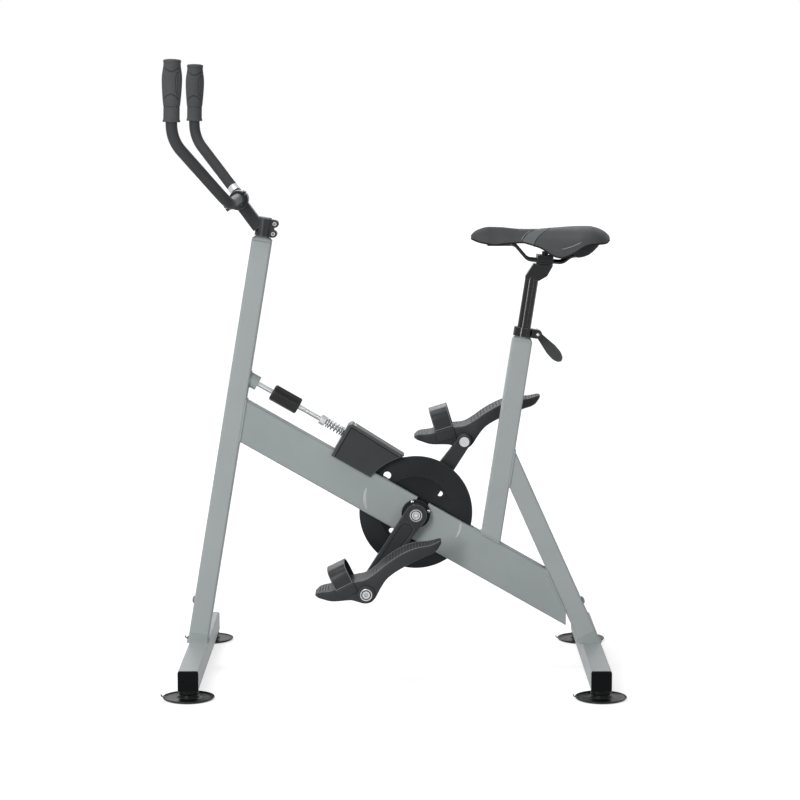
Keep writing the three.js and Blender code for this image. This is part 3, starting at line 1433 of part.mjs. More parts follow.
bike.add(
  group(
    postPlace,
    mesh("front_socket", cut(socket(postPlace), boltHole(-1)), framePaint),
    mesh("front_socket_bolt", socketBolt(-1), steel),
    mesh("front_post", frontPost(), framePaint),
    mesh("steerer_stub", steererStub(), framePaint),
    mesh("stem", stem(), blackPaint),
    mesh("lower_pinch_bolt", pinchBolt(pinchHeights()[0]), steel),
    mesh("upper_pinch_bolt", pinchBolt(pinchHeights()[1]), steel),
  ),
  group(stemPlace, mesh("stem_faceplate", stemFaceplate(), blackPaint)),
  group(
    stayPlace,
    mesh("rear_socket", cut(socket(stayPlace), boltHole(1)), framePaint),
    mesh("rear_socket_bolt", socketBolt(1), steel),
    mesh("rear_stay", rearStay(), framePaint),
  ),
  group(
    beamPlace,
    mesh("main_beam", mainBeam(), framePaint),
    mesh("left_bearing_flange", bearingFlange(-1), blackPlastic),
    mesh("right_bearing_flange", bearingFlange(1), blackPlastic),
    mesh("left_crank_bearing", crankBearing(-1), steel),
    mesh("right_crank_bearing", crankBearing(1), steel),
    mesh("adjuster_boss", adjusterBoss(), framePaint),
    mesh("brake_cover", brakeCover(), greyPlastic),
    mesh("brake_block", brakeBlock(), blackPaint),
    mesh("brake_pad", brakePad(), felt),
    mesh("tension_rod", tensionRod(), steel),
    mesh("tension_knob", tensionKnob(), blackPlastic),
    mesh("tension_nut", tensionNut(), steel),
    mesh("tension_spring", tensionSpring(), steel),
  ),
  group(
    seatPlace,
    mesh("seat_tube", seatTube(), framePaint),
    mesh("seat_clamp", seatClamp(), glossBlack),
    mesh("seatpost", seatpost(), glossBlack),
  ),
  group(
    leverPlace,
    mesh("clamp_skewer", clampSkewer(), steel),
    mesh("clamp_lever", clampLever(), greyPlastic),
  ),
  group(
    railPlace,
    mesh("rail_cradle", railCradle(), blackPaint),
    mesh("rail_plate", railPlate(), blackPaint),
    mesh("rail_bolt", railBolt(), steel),
  ),
  group(
    { ...railPlace, turn: 0 },
    mesh("saddle_cushion", saddleCushion(), leather),
    mesh("saddle_shell", saddleShell(), blackPlastic),
    mesh("saddle_rails", railWire(railRadius, 0), glossBlack),
  ),
  group(
    crankPlace,
    mesh("crank_axle", crankAxle(), steel),
    mesh("brake_disc", brakeDisc(), blackPaint),
    mesh("left_crank", leftCrank(), greyPlastic),
    mesh("left_crank_bolt", leftCrankBolt(), steel),
    mesh("left_pedal_axle", leftPedalAxle(), steel),
  ),
  group(
    { ...crankPlace, turn: crankPlace.turn + Math.PI },
    mesh("right_crank", mirrored(leftCrank()), greyPlastic),
    mesh("right_crank_bolt", mirrored(leftCrankBolt()), steel),
    mesh("right_pedal_axle", mirrored(leftPedalAxle()), steel),
  ),
);

for (const [hand, reachAlong, turn, strapHeight] of [
  ["left", crankLength, 0, leftStrapHeight],
  ["right", -crankLength, -radians(rightPedalTurn), rightStrapHeight],
]) {
  const [x, z] = outOf(crankPlace, reachAlong, 0);
  const handed = hand === "left" ? (piece) => piece : mirrored;
  bike.add(
    group(
      { x, z, turn },
      mesh(`${hand}_pedal`, handed(leftPedal()), greyPlastic),
      mesh(`${hand}_strap`, handed(leftStrap(strapHeight)), blackPlastic),
    ),
  );
}

const leftGrip = mesh("left_grip", grip(), rubber);
const rightGrip = mesh("right_grip", grip(), rubber);
leftGrip.position.y = -hornY;
rightGrip.position.y = hornY;
bike.add(mesh("handlebar", handlebar(), glossBlack), group(gripPlace, leftGrip, rightGrip));

export default bike;
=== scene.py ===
import json
import math

import bmesh
import bpy
import numpy as np
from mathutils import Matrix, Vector


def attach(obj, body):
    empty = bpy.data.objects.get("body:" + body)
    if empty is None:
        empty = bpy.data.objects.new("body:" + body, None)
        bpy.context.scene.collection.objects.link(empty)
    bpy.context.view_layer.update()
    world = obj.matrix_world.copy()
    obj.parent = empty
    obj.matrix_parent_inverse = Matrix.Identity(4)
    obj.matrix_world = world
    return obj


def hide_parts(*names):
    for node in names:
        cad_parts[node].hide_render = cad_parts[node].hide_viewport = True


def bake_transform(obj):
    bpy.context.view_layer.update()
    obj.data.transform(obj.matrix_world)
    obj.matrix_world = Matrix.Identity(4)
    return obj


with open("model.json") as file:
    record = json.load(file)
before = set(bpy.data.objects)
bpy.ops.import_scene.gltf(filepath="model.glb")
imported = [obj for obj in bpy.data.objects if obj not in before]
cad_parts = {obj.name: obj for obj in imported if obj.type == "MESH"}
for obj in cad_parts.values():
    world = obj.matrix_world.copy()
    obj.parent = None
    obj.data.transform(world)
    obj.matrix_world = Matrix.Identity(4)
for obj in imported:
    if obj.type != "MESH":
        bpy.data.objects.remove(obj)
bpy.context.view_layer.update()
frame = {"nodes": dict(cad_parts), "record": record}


# The photographer's studio: a white floor and a white surround, seen from the bike's left side, a little
# above the handlebar and slightly downwards. Large soft lamps stand left, right, behind and overhead.
scene = bpy.context.scene
camera_place = (0.012, -5.0, 1.126)
camera_pitch = 6.6  # degrees below level
camera_lens, camera_sensor = 112.86, 36  # mm
sight = 200  # metres
lamps = {  # place, width and height in metres, power in watts
    "key": ((-1.9, -3.8, 1.8), (0.6, 2.8), 102),
    "fill": ((2.6, -3.4, 1.2), (0.3, 2.2), 16),
    "top": ((-1.4, 0.2, 3.9), (2.0, 2.0), 58),
    "rear": ((-0.6, 3.6, 2.6), (2.0, 2.0), 32),
}
aim = Vector((0, 0, 0.55))
white = (1, 1, 1, 1)
surround_light = 0.29
floor_half, floor_grey = 40.0, 0.6
floor_lift_near, floor_lift_far = 0.66, 0.95  # own light of the floor, which the camera sees over its shadows
floor_near, floor_far = 1.5, 9.0  # distances from the bike at which it has them

camera = bpy.data.objects.new("camera", bpy.data.cameras.new("camera"))
camera.location = camera_place
camera.rotation_euler = (math.radians(90 - camera_pitch), 0, 0)
camera.data.lens = camera_lens
camera.data.sensor_width = camera_sensor
camera.data.clip_end = sight
scene.collection.objects.link(camera)
scene.camera = camera
scene.view_settings.view_transform = "Standard"

for name, (place, size, power) in lamps.items():
    lamp = bpy.data.objects.new(f"{name}_lamp", bpy.data.lights.new(f"{name}_lamp", "AREA"))
    lamp.data.energy = power
    lamp.data.shape = "RECTANGLE"
    lamp.data.size, lamp.data.size_y = size
    lamp.location = place
    lamp.rotation_euler = (Vector(place) - aim).to_track_quat("Z", "Y").to_euler()
    scene.collection.objects.link(lamp)


def fill(tree, sockets, values):
    """Gives inputs their values, by name or number: a socket is linked, and anything else is written in."""
    for name, value in values.items():
        if isinstance(value, bpy.types.NodeSocket):
            tree.links.new(value, sockets[name])
        else:
            sockets[name].default_value = value


def shading(tree, kind, values, **settings):
    """The outputs of a new shader node, which gets its settings first and its inputs after them."""
    made = tree.nodes.new(f"ShaderNode{kind}")
    for name, value in settings.items():
        setattr(made, name, value)
    fill(tree, made.inputs, values)
    return made.outputs


def unlit_share(tree):
    """A socket that is 1 for rays from the camera, off gloss or through clear things, and 0 for light."""
    rays = shading(tree, "LightPath", {})
    seen = shading(tree, "Math", {0: rays["Is Camera Ray"], 1: rays["Is Glossy Ray"]}, operation="MAXIMUM")[0]
    return shading(tree, "Math", {0: seen, 1: rays["Is Transmission Ray"]}, operation="MAXIMUM")[0]


surround = bpy.data.worlds.new("surround")
surround.use_nodes = True
scene.world = surround
tree = surround.node_tree
fill(tree, tree.nodes["Background"].inputs, {"Color": white, "Strength": surround_light})
plain = shading(tree, "Background", {"Color": white, "Strength": 1})[0]
lit = tree.nodes["Background"].outputs[0]
fill(tree, tree.nodes["World Output"].inputs,
     {"Surface": shading(tree, "MixShader", {0: unlit_share(tree), 1: lit, 2: plain})[0]})

floor_mesh = bpy.data.meshes.new("studio_floor")
corners = np.array([[-1, -1, 0], [1, -1, 0], [1, 1, 0], [-1, 1, 0]]) * floor_half
floor_mesh.from_pydata(corners.tolist(), [], [(0, 1, 2, 3)])
floor = bpy.data.objects.new("studio_floor", floor_mesh)
scene.collection.objects.link(floor)
paper = bpy.data.materials.new("studio_paper")
paper.use_nodes = True
tree = paper.node_tree
away = shading(tree, "VectorMath", {0: shading(tree, "TexCoord", {})["Object"]}, operation="LENGTH")["Value"]
own_light = shading(tree, "MapRange", {"Value": away, "From Min": floor_near, "From Max": floor_far,
                                       "To Min": floor_lift_near, "To Max": floor_lift_far})["Result"]
lift = shading(tree, "Math", {0: unlit_share(tree), 1: own_light}, operation="MULTIPLY")[0]
fill(tree, tree.nodes["Principled BSDF"].inputs, {
    "Base Color": (floor_grey, floor_grey, floor_grey, 1), "Roughness": 0.9, "Specular IOR Level": 0.1,
    "Emission Color": white, "Emission Strength": lift})
floor_mesh.materials.append(paper)


# Welded frame of square steel tube, powder coated a satin grey-green. The post, beam, seat tube and stay
# are drawn tubes with rounded corners; their formed shapes come from the CAD solids, with softened edges.
nodes = frame["nodes"]
body_of = {name: body for body, names in frame["record"]["behaviour"]["bodies"].items() for name in names}


def linear(colour):
    """An 8-bit display colour as the linear light that shaders take: a power curve with a short toe."""
    share = np.asarray(colour, float) / 255
    return tuple(np.where(share <= 0.04045, share / 12.92, ((share + 0.055) / 1.055) ** 2.4)) + (1.0,)


def nearness(tree, inward, reach, most):
    """A socket that grows from 0 to most, the nearer other faces of the same piece lie within the reach:
    looked for inward it marks outer edges, and outward it marks corners and grooves."""
    clear = shading(tree, "AmbientOcclusion", {"Distance": reach}, inside=inward, only_local=True, samples=3)
    span = {"Value": clear["AO"], "From Min": 0.95, "From Max": 0.5, "To Max": most}
    return shading(tree, "MapRange", span)["Result"]


def finish(name, colour, roughness, mottle, grain, edge_highlight=(0.25, None), metallic=0.0, sheen=0.0, specular=0.08,
           edge=0.0012, hollow=0.6):
    """A surface finish on Object coordinates.

    Mottle is a scale of wide noise and how far it takes the colour darker and lighter. Grain is a scale of
    fine noise and its height in millimetres; it also varies the roughness. Edge highlight is how far outer
    edges turn to a colour, paler than the piece's own if none is given: a painted highlight. Hollow is how
    far
    corners and grooves darken: painted shade.
    """
    made = bpy.data.materials.new(name)
    made.use_nodes = True
    tree = made.node_tree
    where = shading(tree, "TexCoord", {})["Object"]
    wide = shading(tree, "TexNoise", {"Vector": where, "Scale": mottle[0], "Detail": 4})["Fac"]
    fine = shading(tree, "TexNoise", {"Vector": where, "Scale": grain[0], "Detail": 3})["Fac"]
    tone = tree.nodes.new("ShaderNodeValToRGB")
    own = np.array(linear(colour)[:3])
    for stop, place, change in zip(tone.color_ramp.elements, (0.3, 0.7), (-mottle[1], mottle[1])):
        stop.position = place
        stop.color = tuple(np.minimum(own * (1 + change), 1)) + (1,)
    fill(tree, tone.inputs, {"Fac": wide})
    base = tone.outputs["Color"]
    # Painted light: outer edges take a paler colour as a painted highlight, and corners and grooves a darker
    # one as painted shade.
    highlight_colour = edge_highlight[1] or tuple(255 - (255 - c) * 0.72 for c in colour)
    shade_colour = tuple(c * 0.35 for c in colour)
    for inward, reach, most, other in ((True, edge, edge_highlight[0], highlight_colour), (False, 0.004, hollow, shade_colour)):
        mix = {"Factor": nearness(tree, inward, reach, most), "A": base, "B": linear(other)}
        base = shading(tree, "Mix", mix, data_type="RGBA")["Result"]
    rough = shading(tree, "MapRange", {
        "Value": fine, "From Min": 0.3, "From Max": 0.7, "To Min": max(roughness - 0.06, 0.02),
        "To Max": roughness + 0.06})
    relief = shading(tree, "Bump", {"Height": fine, "Strength": 1, "Distance": grain[1] * 1e-3})
    fill(tree, tree.nodes["Principled BSDF"].inputs, {
        "Base Color": base, "Roughness": rough["Result"], "Normal": relief["Normal"], "Metallic": metallic,
        "Sheen Weight": sheen, "Specular IOR Level": specular})
    return made


def settle(piece, material, node, crease=50, added=False):
    """Puts a finished mesh on the bike: smooth up to the crease angle, in its finish and on the body of a CAD
    node. It takes the node's place, or else is added to it."""
    piece.data.materials.append(material)
    piece.data.shade_smooth()
    piece.data.set_sharp_from_angle(angle=math.radians(crease))
    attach(piece, body_of[node])
    if not added:
        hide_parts(node)
    return piece


def piece_of(made, name):
    """A new piece in the scene out of an edited mesh."""
    mesh = bpy.data.meshes.new(name)
    made.to_mesh(mesh)
    made.free()
    piece = bpy.data.objects.new(name, mesh)
    scene.collection.objects.link(piece)
    return piece


def merged(node):
    """A copy of a CAD solid with its triangles merged and its flat faces joined."""
    made = bmesh.new()
    made.from_mesh(nodes[node].data)
    bmesh.ops.remove_doubles(made, verts=made.verts, dist=1e-5)
    bmesh.ops.dissolve_limit(made, angle_limit=math.radians(0.5), verts=made.verts, edges=made.edges)
    return piece_of(made, f"{node}_form")


def formed(node, material, edge=0.0008, crease=50, shape=merged):
    """A CAD solid's merged copy in its finish: it takes the solid's place, edges sharper than the crease
    angle are rounded, and wide faces lead the shading."""
    piece = settle(shape(node), material, node, crease)
    bevel = piece.modifiers.new("rounded_edges", "BEVEL")
    bevel.width = edge
    bevel.segments = 2
    bevel.limit_method = "ANGLE"
    bevel.angle_limit = math.radians(crease)
    bevel.miter_outer = "MITER_ARC"
    piece.modifiers.new("even_shading", "WEIGHTED_NORMAL").keep_sharp = True


frame_paint = finish("satin_grey_green_coat", (157, 164, 164), 0.4, (9, 0.045), (1400, 0.02), (0.45, None),
                     edge=0.0025)
for node in ("front_post", "seat_tube", "rear_stay", "main_beam"):
    formed(node, frame_paint, 0.0006)
formed("steerer_stub", frame_paint, 0.0012)


# Weld beads, laid by hand where the tubes meet: a small round of steel along each joint, with the ripples
# of the single drops. They are painted with the frame.
def circle(count):
    """Angles of one turn in equal steps, the last a step short of the first."""
    return np.linspace(0, 2 * math.pi, count, endpoint=False)


def points_of(x, y, z):
    """Points out of three arrays of coordinates, each stretched to the shape that they share."""
    return np.stack(np.broadcast_arrays(x, y, z), -1)


def directions(path, closed=False):
    """Unit directions along a path, at each point from the point before to the one after."""
    ahead = np.roll(path, -1, 0) - np.roll(path, 1, 0) if closed else np.gradient(path, axis=0)
    return ahead / np.linalg.norm(ahead, axis=1, keepdims=True)


def surface(points, closed=False, capped=True):
    """Corners and faces of rings of points: each ring is joined to the next. A closed surface joins the last
    ring to the first, and any other has its end rings capped."""
    index = np.arange(points.shape[0] * points.shape[1]).reshape(points.shape[:2])
    below = index if closed else index[:-1]
    above = np.roll(index, -1, 0) if closed else index[1:]
    faces = np.stack([below, np.roll(below, -1, 1), np.roll(above, -1, 1), above], -1).reshape(-1, 4).tolist()
    if capped and not closed:
        faces += [index[0][::-1].tolist(), index[-1].tolist()]
    return points.reshape(-1, 3), faces


def carried(path, radius, sides, up=(1.0, 0.0, 0.0), closed=False):
    """A round tube in metres: each point of the path gives a ring, square to the path, of its own radius.

    The ring lies in the plane of two directions, the first square to the path and to the direction up, and
    the second square to the path and to the first.
    """
    ahead = directions(path, closed)
    first = np.cross(ahead, up)
    first /= np.linalg.norm(first, axis=1, keepdims=True)
    second = np.cross(first, ahead)
    angle = circle(sides)[:, None]
    ring = first[:, None] * np.cos(angle) + second[:, None] * np.sin(angle)
    return surface(path[:, None] + np.reshape(radius, (-1, 1, 1)) * ring, closed)


def shaped(name, *surfaces):
    """One mesh of one or more closed surfaces, doubled corners merged and every face turned outward."""
    made = bmesh.new()
    for points, faces in surfaces:
        mesh = bpy.data.meshes.new(name)
        mesh.from_pydata(points.tolist(), [], faces)
        made.from_mesh(mesh)
        bpy.data.meshes.remove(mesh)
    bmesh.ops.remove_doubles(made, verts=made.verts, dist=1e-6)
    bmesh.ops.recalc_face_normals(made, faces=made.faces)
    return piece_of(made, name)


def add(name, parts, material, node, crease):
    """Closed surfaces as one mesh, on a CAD node's body without taking its place."""
    settle(shaped(name, *parts), material, node, crease, added=True)


def stand(points, place):
    """Points in millimetres in a leaning piece's own frame, turned about Y by its lean and moved to its foot,
    in metres. The place is the foot's x and z in millimetres and the lean in degrees."""
    x, y, z = np.moveaxis(np.asarray(points, float), -1, 0)
    turn = math.radians(place[2])
    return points_of(x * math.cos(turn) + z * math.sin(turn) + place[0], y,
                     z * math.cos(turn) - x * math.sin(turn) + place[1]) / 1000


def leaned(direction, place):
    """A direction in a leaning piece's own frame, turned about Y by its lean alone."""
    return stand(direction, (0, 0, place[2])) * 1000


def into(place, points):
    """World points in millimetres in a leaning piece's own frame: moved to its foot, then turned back."""
    x, y, z = np.moveaxis(np.asarray(points, float) - (place[0], 0, place[1]), -1, 0)
    turn = math.radians(place[2])
    return points_of(x * math.cos(turn) - z * math.sin(turn), y, x * math.sin(turn) + z * math.cos(turn))


floor_frame = (0.0, 0.0, 0.0)
post_frame = (-397.0, 57.0, 9.4)
seat_frame = (257.0, 673.0, 8.7)
stay_frame = (396.1, 57.0, -24.25)
beam_frame = (43.9, 320.0, 29.67)
tube_half = 20.0
beam_top, beam_bottom = 30.9, -49.1  # of the beam, square to its slope
beam_tip_x = 347.0
boss_radius, rod_height = 14.5, 69.7
bead_radius, bead_step, drop_length = 2.3, 1.2, 4.2  # of the bead, from ring to ring, of one weld drop


def spaced(line, count=None, closed=False):
    """Points at even steps along a line through corners, and how far along it they lie. Their number is the
    count, or else the number of weld bead steps in the line."""
    lengths = np.r_[0, np.cumsum(np.linalg.norm(np.diff(line, axis=0), axis=1))]
    place = np.linspace(0, lengths[-1], count or int(lengths[-1] / bead_step), endpoint=not closed)
    return np.stack([np.interp(place, lengths, line[:, i]) for i in range(3)], -1), place


def bead(corners, closed=True):
    """A weld bead through corners in metres: its radius swells and sinks once for each drop."""
    corners = corners * 1000
    path, place = spaced(np.vstack([corners, corners[:1]]) if closed else corners, closed=closed)
    radius = bead_radius * (1 + 0.1 * np.cos(2 * math.pi * place / drop_length))
    return carried(path / 1000, radius / 1000, 10, (0.31, 0.43, 0.85), closed)


def face_line(place, face_place, first, second):
    """The straight line through two (x, z) points of another piece's frame, as z of x and x of z here."""
    ends = stand([[first[0], 0, first[1]], [second[0], 0, second[1]]], face_place) * 1000
    (x0, _, z0), (x1, _, z1) = into(place, ends)
    return (lambda x: z0 + (x - x0) * (z1 - z0) / (x1 - x0), lambda z: x0 + (z - z0) * (x1 - x0) / (z1 - z0))


def rounded_loop(half_a, half_b, corner=4.0):
    """A square tube's outline as two rows, a and b: four quarter circles round its corners."""
    angle = np.linspace(0, math.pi / 2, 4)[None] + np.arange(4)[:, None] * math.pi / 2
    a = (np.array([1, -1, -1, 1]) * (half_a - corner))[:, None] + corner * np.cos(angle)
    b = (np.array([1, 1, -1, -1]) * (half_b - corner))[:, None] + corner * np.sin(angle)
    return a.ravel(), b.ravel()


def foot_bead(place, face_place, first, second):
    """The bead round the end of a tube, where it meets the line of a face."""
    z_of_x, _ = face_line(place, face_place, first, second)
    a, b = rounded_loop(tube_half, tube_half)
    return bead(stand(points_of(a, b, z_of_x(a)), place))


beam_corner = 5.0
_, post_x = face_line(beam_frame, post_frame, (tube_half, 300), (tube_half, 600))  # the post's rear face
_, stay_x = face_line(beam_frame, stay_frame, (-tube_half, 60), (-tube_half, 300))  # the stay's front face
down, out = rounded_loop((beam_top - beam_bottom) / 2, tube_half, beam_corner)
down = down + (beam_top + beam_bottom) / 2
stay_lean = math.radians(-stay_frame[2])
tip_height = (stay_frame[0] - tube_half * math.cos(stay_lean) - beam_tip_x) / math.sin(stay_lean)
tip_low = into(beam_frame, stand([-tube_half, 0, tip_height], stay_frame) * 1000)[2]
side_z = np.r_[tip_low, beam_top - np.array([4, 1, 0, 0, 1, 4]), tip_low]  # up one side, over and down
side_y = np.array([-20, -20, -19, -16, 16, 19, 20, 20.0])
turn = circle(40)
boss_z = rod_height + boss_radius * np.sin(turn)
welds = [
    foot_bead(post_frame, floor_frame, (-500, 57), (-300, 57)),
    foot_bead(stay_frame, floor_frame, (300, 57), (500, 57)),
    foot_bead(seat_frame, beam_frame, (0, beam_top), (300, beam_top)),
    foot_bead(stay_frame, seat_frame, (tube_half, -100), (tube_half, -400)),
    bead(stand(points_of(post_x(down), out, down), beam_frame)),
    bead(stand(points_of(stay_x(side_z), side_y, side_z), beam_frame), False),
    bead(stand(points_of(post_x(boss_z), boss_radius * np.cos(turn), boss_z), beam_frame)),
]
add("frame_weld_beads", welds, frame_paint, "main_beam", 80)

# Ground-down welds of the slot's end plates, which show through both sides of the beam as low crescents,
# painted paler than the frame.
crescent_paint = finish("ground_weld_coat", (186, 193, 192), 0.45, (60, 0.05), (1400, 0.03), (0.2, None))
crescent_lines = (((-98.5, -102.5, -98.0), (54, 31, 9)), ((89.5, 88.0, 79.5), (-19, -36, -50)))  # x, z
crescent_half, crescent_slant, crescent_rise, crescent_foot = 3.4, 0.6, 1.1, 19.7
crescents = []
section = circle(16)
t = np.linspace(0, 1, 28)[:, None]
swell = np.sqrt(np.clip(1 - (2 * t - 1) ** 2, 0.004, 1))
for line in crescent_lines:
    x, z = (start + a * (1 - t) ** 2 + (4 * b - a - c) * t * (1 - t) + c * t * t
            for start, (a, b, c) in zip(beam_frame, line))
    for side in (-1, 1):
        rings = points_of(x + crescent_half * swell * np.cos(section),
                          side * (crescent_foot + crescent_rise * swell * np.sin(section)),
                          z + crescent_slant * swell * np.cos(section))
        crescents.append(surface(rings / 1000))
add("beam_weld_crescents", crescents, crescent_paint, "main_beam", 80)


# Cross bars on the floor, of the same tube, with a socket welded on each. Their ends are closed by pressed-in
# caps of gloss black plastic, and a dome bolt of stainless steel holds the post and the stay on the sockets.
for node in ("front_base_bar", "rear_base_bar", "front_socket", "rear_socket"):
    formed(node, frame_paint, 0.0006)
cap_plastic = finish("glossy_black_plastic", (5, 6, 8), 0.24, (30, 0.2), (500, 0.02), (0.5, (76, 79, 82)))
for node in ("front_left_end_cap", "front_right_end_cap", "rear_left_end_cap", "rear_right_end_cap"):
    formed(node, cap_plastic, 0.0012)


def turned(outline, sides, place, axis, start=(1, 0, 0)):
    """A turned piece: each (radius, height) of its outline in millimetres is carried once round the axis.

    The place is the axis's foot in metres, and the axis and the start are square unit directions. An outline
    that ends where it began gives a ring, and any other is capped.
    """
    radius, height = np.array(outline, float).T[:, :, None, None] / 1000
    angle = circle(sides)[:, None]
    axis, start = np.array(axis, float), np.array(start, float)
    ring = np.cos(angle) * start + np.sin(angle) * np.cross(axis, start)
    return surface(np.asarray(place) + radius * ring + height * axis, capped=outline[0] != outline[-1])


steel = finish("brushed_stainless_steel", (184, 186, 188), 0.3, (40, 0.08), (1600, 0.008),
               (0.4, (215, 217, 218)), metallic=1.0, edge=0.0006, hollow=0.8)
# The socket bolts take a darker copy of the stainless steel: painted shade standing in for their dimmer
# reflections.
shaded_bolt_steel = finish("bolt_steel_painted_darker", (112, 114, 116), 0.34, (40, 0.1), (1200, 0.01), (0.5, (190, 192, 193)),
                    metallic=1.0, edge=0.0006, hollow=0.9)
bolt_outline = [(0, -12), (4, -12), (4, 0), (7.4, 0), (8, 0.5), (8, 1.3), (7.6, 1.9), (6.6, 2.9), (5.2, 3.8),
                (3.4, 4.4), (3.2, 4.5), (2.3, 4.5), (2.2, 4.2), (2.1, 2.2), (0, 2.0)]
bolt_height = 82
for node, place, side in (("front_socket_bolt", post_frame, -1), ("rear_socket_bolt", stay_frame, 1)):
    foot = stand([side * (tube_half + 0.3), 0, bolt_height], place)
    bolt = turned(bolt_outline, 40, foot, leaned((side, 0, 0), place), (0, 1, 0))
    settle(shaped(f"{node}_turned", bolt), shaded_bolt_steel, node, 40)


# Feet of black rubber, moulded as suction cups with a ringed neck and a small curled tab to lift them by.
# A steel stud in each neck goes into its base bar.
rubber = finish("black_foot_rubber", (8, 9, 10), 0.36, (25, 0.18), (420, 0.05), (0.4, (88, 91, 94)),
                specular=0.14, edge=0.001)
foot_outline = [
    (0, 0), (30, 0.4), (44.5, 0), (47.5, 1.2), (50, 4.0), (49.8, 5.1), (48.9, 5.5), (47.6, 4.9), (45, 2.9),
    (40, 3.0), (30, 3.5), (23.6, 4.0), (21.8, 4.8), (21, 6.2), (20.8, 7.4), (20.2, 8), (18.6, 8.1), (18, 8.8),
    (18, 10.2), (18.7, 10.9), (19.6, 11.1), (20, 11.8), (20, 13), (19.4, 13.6), (19.4, 14.2), (20, 14.8),
    (20, 16), (19.3, 16.7), (5, 16.7), (5, 30.7), (0, 30.7),
]
tab_line = np.array([(45, 4.0), (49, 4.6), (51.5, 5.2), (52.9, 6.4), (53.4, 8.0), (52.9, 9.4)])
tab_shrink = np.array([1, 1, 1, 0.97, 0.88, 0.6])[:, None]
tab_half, tab_thickness = 4.5, 1.6


def sideways(line):
    """Unit directions square to a line in one plane: its own directions, a quarter turn on."""
    ahead = directions(line)
    return np.stack([-ahead[:, 1], ahead[:, 0]], -1)


def bulged(value, power):
    """A value between -1 and 1 with its size raised to a power: of a circle's cosine and sine it makes a
    rounded box where the power is below 1."""
    return np.sign(value) * np.abs(value) ** power


def curled_tab(x, y):
    """The tab: an oval section, squarer than a circle across and thin through, set square to each point of a
    line that curls up."""
    angle = circle(16)
    through = tab_thickness / 2 * np.sin(angle)[:, None]
    out, up = np.moveaxis(tab_line[:, None] + sideways(tab_line)[:, None] * through, -1, 0)
    return surface(points_of(x - out, y + tab_half * bulged(np.cos(angle), 0.6) * tab_shrink, up) / 1000)


for end, x in (("front", -394.5), ("rear", 398.5)):
    for hand, y in (("left", -272.0), ("right", 272.0)):
        node = f"{end}_{hand}_foot"
        cup = turned(foot_outline, 72, (x / 1000, y / 1000, 0), (0, 0, 1))
        settle(shaped(f"{node}_cup", cup, curled_tab(x, y)), rubber, node, 42)


# Bearings: black plastic flanges bolted on each side of the beam, with two small steel screws in the left
# one, a sealed ring bearing in each, and the steel axle through both.
flange_plastic = finish("black_flange_plastic", (36, 38, 40), 0.42, (35, 0.15), (700, 0.04),
                        (0.45, (104, 107, 110)))
flange_outline = [(7.8, 20.3), (29, 20.3), (29, 24.6), (28.4, 25.3), (23.6, 25.4), (23.2, 27.3), (12.3, 27.3),
                  (12.3, 22), (7.8, 22), (7.8, 20.3)]
ring_outline = [(7.8, 22.6), (12, 22.6), (12, 27), (11, 27.2), (10.6, 26.6), (9.2, 26.6), (8.8, 27.2),
                (7.8, 27), (7.8, 22.6)]
screw_outline = [(0, 25), (3.3, 25), (3.3, 26.6), (2.8, 27.5), (1.4, 28.0), (1.2, 26.9), (0, 26.8)]
crank_axis = np.array([0.0439, 0.0, 0.32])
side_of = {"left": -1, "right": 1}
for hand, side in side_of.items():
    for part, outline, coat in (("bearing_flange", flange_outline, flange_plastic),
                                ("crank_bearing", ring_outline, steel)):
        node = f"{hand}_{part}"
        settle(shaped(f"{node}_turned", turned(outline, 72, crank_axis, (0, side, 0))), coat, node, 35)
screws = [turned(screw_outline, 20, crank_axis + place, (0, -1, 0))
          for place in ((-0.0071, 0, 0.0248), (0.0252, 0, 0.0061))]
add("left_flange_screws", screws, steel, "left_crank_bearing", 35)
formed("crank_axle", steel, 0.0004)


# Brake adjuster: a boss welded to the post, a threaded rod of stainless steel through it, a ribbed knob of
# gloss black plastic on the rod, and a hexagon nut that presses a coil spring against the brake's cover.
formed("adjuster_boss", frame_paint, 0.0008)
rod_start, rod_end, rod_radius = -436.0, -150.0, 5.0
thread_start, thread_pitch, thread_depth = -300.0, 1.5, 0.5


def about_rod(along, radius, turn):
    """Points at a distance from the rod's axis, along it and round it, in metres."""
    return stand(points_of(along, radius * np.cos(turn), rod_height + radius * np.sin(turn)), beam_frame)


along = np.r_[np.linspace(rod_start, thread_start, 12)[:-1],
              np.arange(thread_start, rod_end, thread_pitch / 4)]
around = circle(28)
phase = (along[:, None] / thread_pitch + around / (2 * math.pi)) % 1
rod = rod_radius - thread_depth * np.abs(2 * phase - 1) * (along[:, None] > thread_start)
rod_piece = shaped("tension_rod_threaded", surface(about_rod(along[:, None], rod, around)))
settle(rod_piece, steel, "tension_rod", 60)

knob_start, knob_length, knob_radius, knob_bore = -371.0, 61.0, 18.6, 6.5
knob_ribs, rib_rise, rib_width, rib_valley, rib_fade = 6, 1.7, 0.13, 0.4, 6.0
knob_round, knob_turn, bore_sink = 5.0, 0.2, 1.2
knob_plastic = finish("gloss_black_knob", (9, 10, 11), 0.16, (30, 0.2), (400, 0.015), (0.5, (120, 123, 126)),
                      specular=0.3, edge=0.003)
bow = np.linspace(0, math.pi / 2, 9)
bow_rise, bow_shrink = knob_round * (1 - np.cos(bow)), knob_round * (1 - np.sin(bow))
straight = np.linspace(knob_round, knob_length - knob_round, 24)[1:-1]
rise = np.r_[bow_rise, straight, knob_length - bow_rise[::-1]]
shrink = np.r_[bow_shrink, 0 * straight, bow_shrink[::-1]]
around = circle(120)
rib_turn = 2 * math.pi / knob_ribs
from_rib = (around + knob_turn + rib_turn / 2) % rib_turn - rib_turn / 2
valley = rib_valley * np.cos(math.pi * from_rib / rib_turn) ** 2
